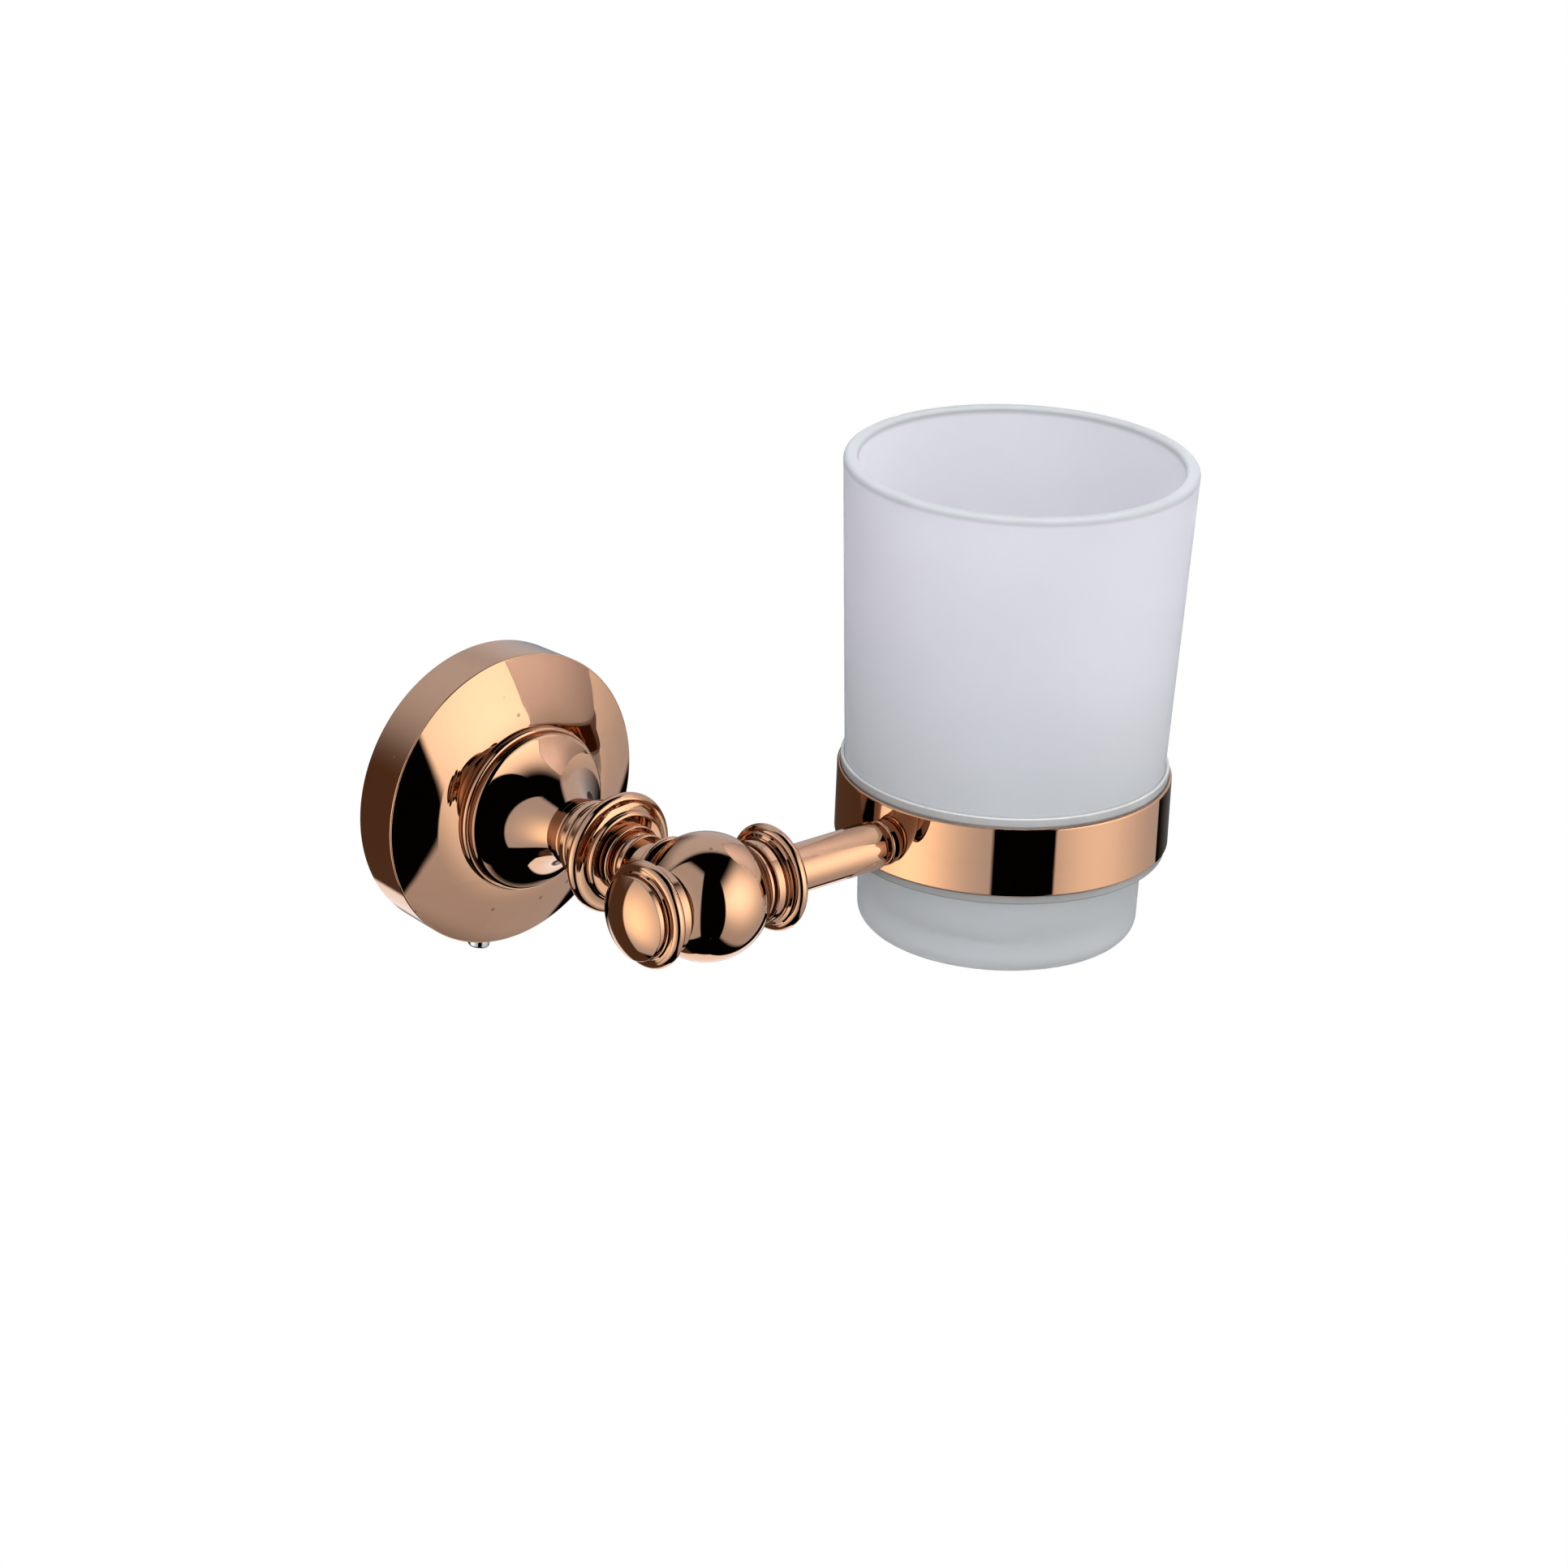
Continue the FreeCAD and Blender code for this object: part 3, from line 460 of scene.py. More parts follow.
@dataclass(frozen=True)
class Thread:
    """A screw thread cut into a rod: its pitch and its depth in millimetres.

    flank is how steeply its sides fall and crest how wide it stays at the top, both as shares.
    """

    pitch: float
    depth: float
    sides: int = 40
    steps: int = 8
    flank: float = 1.6
    crest: float = 0.45

    def rod(self, name: str, radius: float, start: float, end: float, axle: Axle,
            head: Sequence[Point] = (), chamfer: float = 0.5) -> bpy.types.Object:
        """A threaded rod, if asked for with a plain turned head on its far end.

        Args:
            name: the piece's name.
            radius: the thread's outer radius.
            start: where the thread starts along the axle.
            end: where it ends.
            axle: where the rod's axis lies.
            head: further (radius, along) rings beyond the thread.
            chamfer: the taper at the thread's ends.

        Returns:
            The new object.
        """
        heights = np.linspace(start, end, max(4, math.ceil((end - start) / self.pitch * self.steps)) + 1)
        angles = np.linspace(0.0, FULL_TURN, self.sides, endpoint=False)
        rings = []
        for height in heights:
            phase = (height / self.pitch - angles / FULL_TURN) % 1.0
            dip = np.clip(self.flank * np.abs(phase - 0.5) * 2.0 - self.crest, 0.0, 1.0)
            near = start + chamfer - height if height < start + chamfer else 0.0
            far = 0.0 if head else max(0.0, height - end + chamfer)
            limit = radius - max(near, far)
            rings.append((np.minimum(radius - self.depth * dip, limit), np.full(self.sides, height)))
        rings.extend((np.full(self.sides, reach), np.full(self.sides, along)) for reach, along in head)
        places = [(0.0, 0.0, start)]
        for reach, along in rings:
            places.extend(zip(reach * np.cos(angles), reach * np.sin(angles), along))
        places.append((0.0, 0.0, float(rings[-1][1][0])))
        faces = []
        for side in range(self.sides):
            beside = (side + 1) % self.sides
            faces.append((0, 1 + beside, 1 + side))
            top = 1 + (len(rings) - 1) * self.sides
            faces.append((len(places) - 1, top + side, top + beside))
            for row in range(len(rings) - 1):
                low, high = 1 + row * self.sides, 1 + (row + 1) * self.sides
                faces.append((low + side, low + beside, high + beside, high + side))
        mesh = bpy.data.meshes.new(name)
        mesh.from_pydata(places, [], faces)
        mesh.transform(axle.matrix())
        smooth_by_angle(mesh)
        return new_object(name, mesh)


# --------------------------------------------------------------------------------------- materials


class NodeDesk:
    """Adds and links shader nodes in one tree."""

    def __init__(self, tree: bpy.types.NodeTree) -> None:
        """Start with an empty tree."""
        self.tree = tree
        tree.nodes.clear()

    def add(self, kind: str, inputs: Optional[dict] = None, **settings: object) -> bpy.types.Node:
        """A node with its settings, and its inputs linked to sockets or set to values."""
        node = self.tree.nodes.new(kind)
        for key, value in settings.items():
            setattr(node, key, value)
        for key, value in (inputs or {}).items():
            socket = node.inputs[key]
            if isinstance(value, bpy.types.NodeSocket):
                self.tree.links.new(value, socket)
            else:
                socket.default_value = value
        return node

    def sum(self, operation: str, *values: object) -> bpy.types.NodeSocket:
        """The result of a Math node on sockets or numbers."""
        inputs = dict(enumerate(values))
        return self.add("ShaderNodeMath", inputs, operation=operation).outputs[0]

    def ease(self, value: bpy.types.NodeSocket, low: float, high: float,
             start: float = 0.0, end: float = 1.0) -> bpy.types.NodeSocket:
        """A value eased from start to end while it goes from low to high."""
        node = self.add("ShaderNodeMapRange", {"Value": value, "From Min": low, "From Max": high,
                                               "To Min": start, "To Max": end},
                        interpolation_type="SMOOTHSTEP")
        return node.outputs["Result"]

    def mix(self, share: object, first: object, second: object) -> bpy.types.NodeSocket:
        """A blend of two colours."""
        node = self.tree.nodes.new("ShaderNodeMix")
        node.data_type = "RGBA"
        ports = {"Factor": node.inputs[0], "A": node.inputs[6], "B": node.inputs[7]}
        for key, value in (("Factor", share), ("A", first), ("B", second)):
            if isinstance(value, bpy.types.NodeSocket):
                self.tree.links.new(value, ports[key])
            elif key == "Factor":
                ports[key].default_value = value
            else:
                ports[key].default_value = (*value, 1.0)
        return node.outputs[2]

    def link(self, sockets: dict, node: bpy.types.Node) -> None:
        """Link sockets to a node's inputs by the inputs' names."""
        for name, socket in sockets.items():
            self.tree.links.new(socket, node.inputs[name])


@dataclass(frozen=True)
class ShaderEffect:
    """A node group with named inputs and outputs, built once and shared by materials."""

    name: str
    inputs: tuple[tuple[str, str, float], ...]
    outputs: tuple[tuple[str, str], ...]

    def start(self) -> tuple[bpy.types.ShaderNodeTree, NodeDesk, bpy.types.Node, bpy.types.Node]:
        """An empty group with its sockets, a desk to build it on, and its input and output nodes."""
        group = bpy.data.node_groups.new(self.name, "ShaderNodeTree")
        for name, kind, value in self.inputs:
            socket = group.interface.new_socket(name=name, in_out="INPUT", socket_type=kind)
            if kind == FLOAT:
                socket.default_value = value
        for name, kind in self.outputs:
            group.interface.new_socket(name=name, in_out="OUTPUT", socket_type=kind)
        desk = NodeDesk(group)
        return group, desk, desk.add("NodeGroupInput"), desk.add("NodeGroupOutput")


def scattered_dots(desk: NodeDesk, given: bpy.types.Node, word: str, edges: Point) -> bpy.types.NodeSocket:
    """A mask of small round dots in a share of the cells of a pattern.

    Args:
        desk: where the group's nodes are built.
        given: the group's inputs, with a Scale and a Share under this word.
        word: the first word of those two inputs.
        edges: where a dot starts and stops fading, as a distance within its cell.

    Returns:
        The mask's socket.
    """
    cells = desk.add("ShaderNodeTexVoronoi", {"Vector": given.outputs["Vector"],
                                              "Scale": given.outputs[f"{word} Scale"]})
    chance = desk.add("ShaderNodeSeparateColor", {"Color": cells.outputs["Color"]})
    chosen = desk.sum("LESS_THAN", chance.outputs["Red"], given.outputs[f"{word} Share"])
    return desk.sum("MULTIPLY", chosen, desk.ease(cells.outputs["Distance"], *edges, 1.0, 0.0))


def polish_wear() -> bpy.types.ShaderNodeTree:
    """Handling marks on polished metal: soft smudges, fine wiping lines, specks and a faint ripple.

    Returns:
        A group with the masks Smudge, Lines and Specks and a Height for a Bump node.
    """
    smudge_edges, line_edges, dot_edges = (0.5, 0.78), (0.6, 0.74), (0.10, 0.26)
    line_stretch, line_turn = (1.0, 0.08, 0.35), (0.3, 0.5, 0.9)
    speck_pit = -0.6
    effect = ShaderEffect("PolishWear", (
        ("Vector", VECTOR, 0.0), ("Smudge Scale", FLOAT, 60.0), ("Line Scale", FLOAT, 900.0),
        ("Speck Scale", FLOAT, 420.0), ("Speck Share", FLOAT, 0.06), ("Ripple Scale", FLOAT, 160.0),
    ), (("Smudge", FLOAT), ("Lines", FLOAT), ("Specks", FLOAT), ("Height", FLOAT)))
    group, desk, given, made = effect.start()
    vector = given.outputs["Vector"]
    cloud = desk.add("ShaderNodeTexNoise", {"Vector": vector, "Scale": given.outputs["Smudge Scale"],
                                            "Detail": 4.0, "Roughness": 0.6, "Distortion": 0.8})
    smudge = desk.ease(cloud.outputs["Fac"], *smudge_edges)
    stretched = desk.add("ShaderNodeMapping", {"Vector": vector, "Scale": line_stretch,
                                               "Rotation": line_turn})
    hair = desk.add("ShaderNodeTexNoise", {"Vector": stretched.outputs["Vector"],
                                           "Scale": given.outputs["Line Scale"], "Detail": 2.0})
    lines = desk.sum("MULTIPLY", desk.ease(hair.outputs["Fac"], *line_edges), smudge)
    specks = scattered_dots(desk, given, "Speck", dot_edges)
    ripple = desk.add("ShaderNodeTexNoise", {"Vector": vector, "Scale": given.outputs["Ripple Scale"],
                                             "Detail": 1.0})
    height = desk.sum("ADD", ripple.outputs["Fac"], desk.sum("MULTIPLY", specks, speck_pit))
    desk.link({"Smudge": smudge, "Lines": lines, "Specks": specks, "Height": height}, made)
    return group


def frost_grain() -> bpy.types.ShaderNodeTree:
    """The sandy grain and slow cloudiness of etched glass and moulded plastic.

    Returns:
        A group with a Cloud mask, a Marks mask of small dull spots and a Height for a Bump node.
    """
    cloud_edges, dot_edges = (0.3, 0.7), (0.05, 0.11)
    effect = ShaderEffect("FrostGrain", (
        ("Vector", VECTOR, 0.0), ("Grain Scale", FLOAT, 3200.0), ("Cloud Scale", FLOAT, 28.0),
        ("Mark Scale", FLOAT, 30.0), ("Mark Share", FLOAT, 0.05),
    ), (("Cloud", FLOAT), ("Marks", FLOAT), ("Height", FLOAT)))
    group, desk, given, made = effect.start()
    vector = given.outputs["Vector"]
    grain = desk.add("ShaderNodeTexNoise", {"Vector": vector, "Scale": given.outputs["Grain Scale"],
                                            "Detail": 3.0, "Roughness": 0.7})
    cloud = desk.add("ShaderNodeTexNoise", {"Vector": vector, "Scale": given.outputs["Cloud Scale"],
                                            "Detail": 3.0})
    marks = scattered_dots(desk, given, "Mark", dot_edges)
    soft = desk.ease(cloud.outputs["Fac"], *cloud_edges)
    desk.link({"Cloud": soft, "Marks": marks, "Height": grain.outputs["Fac"]}, made)
    return group


def place_group(desk: NodeDesk, group: bpy.types.ShaderNodeTree, values: dict) -> bpy.types.Node:
    """Put a shared group in a material, reading the piece's own coordinates."""
    where = desk.add("ShaderNodeTexCoord")
    node = desk.add("ShaderNodeGroup", node_tree=group)
    desk.tree.links.new(where.outputs["Object"], node.inputs["Vector"])
    for name, value in values.items():
        node.inputs[name].default_value = value
    return node


def new_material(name: str) -> tuple[bpy.types.Material, NodeDesk, bpy.types.Node]:
    """A material with a Principled shader on its output."""
    material = bpy.data.materials.new(name)
    material.use_nodes = True
    desk = NodeDesk(material.node_tree)
    shader = desk.add("ShaderNodeBsdfPrincipled")
    output = desk.add("ShaderNodeOutputMaterial")
    desk.tree.links.new(shader.outputs["BSDF"], output.inputs["Surface"])
    return material, desk, shader


def finish_surface(desk: NodeDesk, shader: bpy.types.Node, tone: bpy.types.NodeSocket,
                   roughness: bpy.types.NodeSocket, bump: dict) -> None:
    """Link a finish's colour, roughness and bump to its shader.

    Args:
        desk: where the material's nodes are built.
        shader: the material's Principled shader.
        tone: the colour.
        roughness: the roughness.
        bump: the Height socket, Strength and Distance of a Bump node.
    """
    raised = desk.add("ShaderNodeBump", bump).outputs["Normal"]
    desk.link({"Base Color": tone, "Roughness": roughness, "Normal": raised}, shader)


@dataclass(frozen=True)
class PolishedMetal:
    """Bright metal with the marks that handling and wiping leave.

    Colours are linear.  roughness is the clean surface's, and haze is how much a smudge adds.  The
    shares say how strongly each mark shows, and depth is the bump's, in metres.
    """

    name: str
    slot: str
    tone: Colour
    worn_tone: Colour
    speck_tone: Colour
    roughness: float
    haze: float
    ripple: float
    speck_share: float
    smudge_share: float = 0.8
    speck_mix: float = 0.5
    line_haze: float = 1.5
    speck_haze: float = 0.35
    depth: float = 0.0002

    def make(self, group: bpy.types.ShaderNodeTree) -> bpy.types.Material:
        """Build the material around the shared wear group."""
        material, desk, shader = new_material(self.name)
        wear = place_group(desk, group, {"Speck Share": self.speck_share}).outputs
        tone = desk.mix(desk.sum("MULTIPLY", wear["Smudge"], self.smudge_share), self.tone, self.worn_tone)
        tone = desk.mix(desk.sum("MULTIPLY", wear["Specks"], self.speck_mix), tone, self.speck_tone)
        hazy = desk.sum("MULTIPLY_ADD", wear["Smudge"], self.haze, self.roughness)
        hazy = desk.sum("MULTIPLY_ADD", wear["Lines"], self.haze * self.line_haze, hazy)
        hazy = desk.sum("MULTIPLY_ADD", wear["Specks"], self.speck_haze, hazy)
        shader.inputs["Metallic"].default_value = 1.0
        finish_surface(desk, shader, tone, hazy, {
            "Height": wear["Height"], "Strength": self.ripple, "Distance": self.depth})
        return material


@dataclass(frozen=True)
class EtchedGlass:
    """Glass frosted all over, with a smoother fire-polished rim. Its base and its rim are darkened by painted
    shade.

    Heights are in the row frame, in millimetres.  depth is the grain's bump, in metres.
    """

    name: str
    slot: str
    tone: Colour
    cloud_tone: Colour
    mark_tone: Colour
    # Painted shade: the glass is darkened towards its foot between these two heights.
    shaded_base_tone: Colour
    base_shade_heights: Point
    transmission: float
    roughness: float
    rim_roughness: float
    # Painted shade: the up-facing rim is darkened to offset the light of the top lamp on it.
    rim_shade_tone: Colour
    rim_height: float
    rim_fade: float
    mark_share: float = 0.02
    cloud_mix: float = 0.6
    mark_mix: float = 0.5
    cloud_haze: float = 0.06
    grain: float = 0.12
    depth: float = 0.00005
    index: float = 1.5
    gloss: float = 0.3

    def make(self, group: bpy.types.ShaderNodeTree) -> bpy.types.Material:
        """Build the material around the shared frost group."""
        material, desk, shader = new_material(self.name)
        frost = place_group(desk, group, {"Mark Share": self.mark_share}).outputs
        where = desk.add("ShaderNodeTexCoord")
        height = desk.add("ShaderNodeSeparateXYZ", {"Vector": where.outputs["Object"]}).outputs["Z"]
        rim = desk.ease(height, (self.rim_height - self.rim_fade) * MM, self.rim_height * MM)
        tone = desk.mix(desk.sum("MULTIPLY", frost["Cloud"], self.cloud_mix), self.tone, self.cloud_tone)
        low, high = (edge * MM for edge in self.base_shade_heights)
        # Painted shade: darken the glass towards its foot.
        tone = desk.mix(desk.ease(height, low, high, 1.0, 0.0), tone, self.shaded_base_tone)
        tone = desk.mix(desk.sum("MULTIPLY", frost["Marks"], self.mark_mix), tone, self.mark_tone)
        # Painted shade: darken the rim, which faces up into the top lamp.
        tone = desk.mix(rim, tone, self.rim_shade_tone)
        rough = desk.sum("MULTIPLY_ADD", frost["Cloud"], self.cloud_haze, self.roughness)
        rough = desk.sum("MULTIPLY_ADD", rim, self.rim_roughness - self.roughness, rough)
        shader.inputs["Transmission Weight"].default_value = self.transmission
        shader.inputs["IOR"].default_value = self.index
        shader.inputs["Specular IOR Level"].default_value = self.gloss
        finish_surface(desk, shader, tone, rough, {
            "Height": frost["Height"], "Strength": self.grain, "Distance": self.depth})
        return material


@dataclass(frozen=True)
class CloudyPlastic:
    """Moulded translucent plastic with a satin skin."""

    name: str
    slot: str
    tone: Colour
    cloud_tone: Colour
    transmission: float
    roughness: float
    mark_tone: Colour = (0.35, 0.35, 0.35)
    grain_scale: float = 900.0
    cloud_scale: float = 90.0
    mark_scale: float = 300.0
    mark_share: float = 0.04
    mark_mix: float = 0.4
    cloud_haze: float = 0.1
    grain: float = 0.1
    depth: float = 0.0001
    index: float = 1.46

    def make(self, group: bpy.types.ShaderNodeTree) -> bpy.types.Material:
        """Build the material around the shared frost group."""
        material, desk, shader = new_material(self.name)
        frost = place_group(desk, group, {
            "Grain Scale": self.grain_scale, "Cloud Scale": self.cloud_scale,
            "Mark Scale": self.mark_scale, "Mark Share": self.mark_share}).outputs
        tone = desk.mix(frost["Cloud"], self.tone, self.cloud_tone)
        tone = desk.mix(desk.sum("MULTIPLY", frost["Marks"], self.mark_mix), tone, self.mark_tone)
        rough = desk.sum("MULTIPLY_ADD", frost["Cloud"], self.cloud_haze, self.roughness)
        shader.inputs["Transmission Weight"].default_value = self.transmission
        shader.inputs["IOR"].default_value = self.index
        finish_surface(desk, shader, tone, rough, {
            "Height": frost["Height"], "Strength": self.grain, "Distance": self.depth})
        return material


@dataclass
class Finishes:
    """Every finish of the holder, each built once."""

    rose_gold: PolishedMetal = PolishedMetal(
        "RoseGold", "rose_gold", tone=(0.83, 0.468, 0.29), worn_tone=(0.76, 0.42, 0.26),
        speck_tone=(0.30, 0.14, 0.08), roughness=0.014, haze=0.03, ripple=0.03, speck_share=0.03)
    steel: PolishedMetal = PolishedMetal(
        "BrightSteel", "bright_steel", tone=(0.72, 0.72, 0.73), worn_tone=(0.60, 0.60, 0.60),
        speck_tone=(0.25, 0.22, 0.20), roughness=0.14, haze=0.10, ripple=0.08, speck_share=0.08)
    zinc: PolishedMetal = PolishedMetal(
        "CastZinc", "bracket_zinc", tone=(0.50, 0.51, 0.53), worn_tone=(0.38, 0.39, 0.41),
        speck_tone=(0.20, 0.20, 0.20), roughness=0.34, haze=0.16, ripple=0.5, speck_share=0.12)
    glass: EtchedGlass = EtchedGlass(
        "FrostedGlass", "frosted_glass", tone=(0.90, 0.893, 0.945), cloud_tone=(0.935, 0.93, 0.97),
        # The base tone is painted shade, darkening the glass towards its foot.
        mark_tone=(0.66, 0.67, 0.72), shaded_base_tone=(0.79, 0.81, 0.825), base_shade_heights=(2.0, 46.0),
        # The rim tone is painted shade, darkening the up-facing rim against the top lamp.
        transmission=0.72, roughness=0.6, rim_roughness=0.58, rim_shade_tone=(0.51, 0.53, 0.54),
        rim_height=71.2, rim_fade=1.2)
    plastic: CloudyPlastic = CloudyPlastic(
        "LinerPlastic", "clear_plastic", tone=(0.56, 0.56, 0.56), cloud_tone=(0.64, 0.64, 0.64),
        transmission=0.45, roughness=0.30)
    made: dict = field(default_factory=dict)

    def build(self) -> None:
        """Make the shared groups and every material."""
        wear = polish_wear()
        frost = frost_grain()
        for finish in (self.rose_gold, self.steel, self.zinc):
            self.made[finish.name] = finish.make(wear)
        for finish in (self.glass, self.plastic):
            self.made[finish.name] = finish.make(frost)

    def dress(self, item: bpy.types.Object, finish: Union[PolishedMetal, EtchedGlass, CloudyPlastic]) -> None:
        """Give a piece its material."""
        item.data.materials.clear()
        item.data.materials.append(self.made[finish.name])


# -------------------------------------------------------------------------------- shapes in common


def bored(outer: Outline, start: float, end: float, bore: float) -> Outline:
    """Close an outer outline with a bore between two places along the axis."""
    return [(bore, start)] + outer + [(bore, end)]


def full_round(radius: float, middle: float, crown: float) -> Outline:
    """A half-round rim of this outer radius, as two quarter arcs about its middle."""
    return [
        (radius - crown, middle - crown), Arc(crown), (radius, middle), Arc(crown),
        (radius - crown, middle + crown),
    ]


def crowned(radius: float, start: float, end: float, crown: float) -> Outline:
    """A straight band with both its edges rounded."""
    return [
        (radius - crown, start), Arc(crown), (radius, start + crown), (radius, end - crown), Arc(crown),
        (radius - crown, end),
    ]


@dataclass
class SubAssembly:
    """A group of pieces that share a place; each piece stands for one CAD node."""

    finishes: Finishes

    def fit(self, item: bpy.types.Object, node: str, body: Body, finish: object) -> None:
        """Dress a piece, ride it on its body and let it stand for its CAD node."""
        self.finishes.dress(item, finish)
        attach(item, body.value)
        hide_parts(node)
        LOG.info("%s stands for %s, %d faces", item.name, node, len(item.data.polygons))

    def turn(self, node: str, outline: Outline, axle: Axle, sides: int = 128, soften: float = 0.06) -> None:
        """Turn a rose-gold piece of the fixed holder.

        Args:
            node: the CAD node that the piece stands for.
            outline: its closed outline.
            axle: where the outline's axis lies.
            sides: how many steps go round.
            soften: how far its outer corners are rounded back.
        """
        item = turned(f"{node}_turned", Profile(outline, soften), axle, sides)
        self.fit(item, node, Body.HOLDER, self.finishes.rose_gold)


def ball_centre() -> Vector:
    """The ball's centre in millimetres, from the CAD ball."""
    low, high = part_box("ball_hub")
    return Vector((0.0, (low.y + high.y) / 2.0 / MM, 0.0))


def ring_centre() -> Vector:
    """The point of the ring's axis level with the ball, in millimetres, from the CAD band."""
    low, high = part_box("ring_band")
    return Vector(((low.x + high.x) / 2.0 / MM, (low.y + high.y) / 2.0 / MM, 0.0))


# ---------------------------------------------------------------------------------- sub-assemblies


@dataclass
class WallFixing(SubAssembly):
    """The cast bracket on the wall."""

    radius: float = 26.8
    depth: float = 7.2
    lip: float = 2.6
    web: float = 3.2
    groove_middle: float = 6.2
    groove_width: float = 4.6
    groove_depth: float = 1.1
    draft: float = 1.2
    hole_spacing: float = 32.0
    hole_radius: float = 2.4
    sink_radius: float = 4.6
    overlap: float = 0.2
    past: float = 1.0

    def build(self) -> None:
        """Cast the bracket and drill its two countersunk holes."""
        inner = self.radius - self.lip
        neck = self.radius - self.groove_depth
        profile = Profile([
            (0.0, 0.0), (self.radius, 0.0), (self.radius, self.groove_middle - self.groove_width / 2.0),
            (neck, self.groove_middle - self.groove_width / 6.0), (neck, self.depth),
            (inner, self.depth), (inner - self.draft, self.web), (0.0, self.web),
        ], 0.2)
        axle = Axle.along(Direction.POST)
        item = turned("bracket_cast", profile, axle, 128)
        tools = []
        sink = self.sink_radius - self.hole_radius
        over = self.past / 2.0
        for x in (-self.hole_spacing / 2.0, self.hole_spacing / 2.0):
            tools.append(rod_tool((x, self.past, 0.0), (x, -self.web - self.past, 0.0), self.hole_radius, 48))
            tools.append(rod_tool((x, self.overlap - self.web + sink, 0.0), (x, -self.web - over, 0.0),
                                  self.hole_radius - self.overlap, 48, self.sink_radius + over))
        carve(item, tools)
        refine_normals(item, profile, axle)
        self.fit(item, "wall_bracket", Body.HOLDER, self.finishes.zinc)


@dataclass
class FlangeCover(SubAssembly):
    """The hollow cover with its sharp front edge and low crowned face, and the set screw under it."""

    radius: float = 30.0
    back_radius: float = 29.6
    edge_depth: float = 10.3
    edge_round: float = 0.25
    skirt_inside: float = 27.4
    skirt_inside_depth: float = 8.0
    face_arc: float = 120.0
    face_break: Point = (21.5, 14.05)
    face_inner_arc: float = 20.4
    face_end: Point = (16.6, 15.4)
    hollow_radius: float = 14.5
    hollow_top: float = 11.6
    bore: float = 4.1
    screw_depth: float = 6.2
    screw_turn: float = 8.0
    drill_past: float = 3.0
    screw_hole: float = 2.06
    screw_radius: float = 2.0
    screw_tip: float = 26.0
    screw_point: float = 1.2
    screw_seat: float = 30.7
    head_radius: float = 2.2
    head_height: float = 1.67
    head_shoulder: float = 0.55
    head_flat: float = 0.5
    head_crown: float = 0.48
    slot_turns: Point = (25.0, 115.0)
    slot_width: float = 0.7
    slot_depth: float = 0.8
    thread: Thread = Thread(0.7, 0.32)

    def screw_axle(self) -> Axle:
        """The set screw's axle, from the post's axis down through the skirt."""
        angle = math.radians(self.screw_turn)
        down = Vector((-math.sin(angle), 0.0, -math.cos(angle)))
        return Axle(Vector((0.0, -self.screw_depth, 0.0)), down)

    def build(self) -> None:
        """Turn the cover, drill it and put the set screw in."""
        profile = Profile([
            (self.skirt_inside, 0.0), (self.back_radius, 0.0),
            (self.radius, self.edge_depth - self.edge_round), Arc(self.edge_round * 1.1),
            (self.radius - self.edge_round, self.edge_depth),
            Arc(self.face_arc), self.face_break, Arc(self.face_inner_arc), self.face_end,
            (self.bore, self.face_end[1]), (self.bore, self.hollow_top),
            (self.hollow_radius, self.hollow_top), (self.skirt_inside, self.skirt_inside_depth),
        ], 0.08)
        axle = Axle.along(Direction.POST)
        cover = turned("flange_cover", profile, axle, 224)
        screw = self.screw_axle()
        ends = [screw.start + screw.direction * reach
                for reach in (self.skirt_inside - self.drill_past, self.radius + self.drill_past)]
        carve(cover, [rod_tool(*ends, self.screw_hole, 64)])
        refine_normals(cover, profile, axle)
        self.fit(cover, "flange_shell", Body.HOLDER, self.finishes.rose_gold)
        self.build_screw(screw)

    def build_screw(self, axle: Axle) -> None:
        """Cut the set screw's thread, head and crossed slots."""
        top = self.screw_seat + self.head_height
        shoulder = self.screw_seat + self.head_height * self.head_shoulder
        flat, crown = self.head_radius * self.head_flat, self.head_radius * self.head_crown
        head = [(flat + crown, self.screw_seat)]
        for degrees in range(0, 90, 20):
            bend = math.radians(degrees)
            head.append((flat + crown * math.cos(bend), shoulder + (top - shoulder) * math.sin(bend)))
        head.append((flat, top))
        item = self.thread.rod("set_screw_cut", self.screw_radius, self.screw_tip, self.screw_seat, axle,
                               head, self.screw_point)
        length = self.head_radius * 1.7
        carve(item, [block_tool(axle, top, length, self.slot_width, self.slot_depth, turn)
                     for turn in self.slot_turns])
        smooth_by_angle(item.data)
        self.fit(item, "set_screw", Body.SET_SCREW, self.finishes.steel)


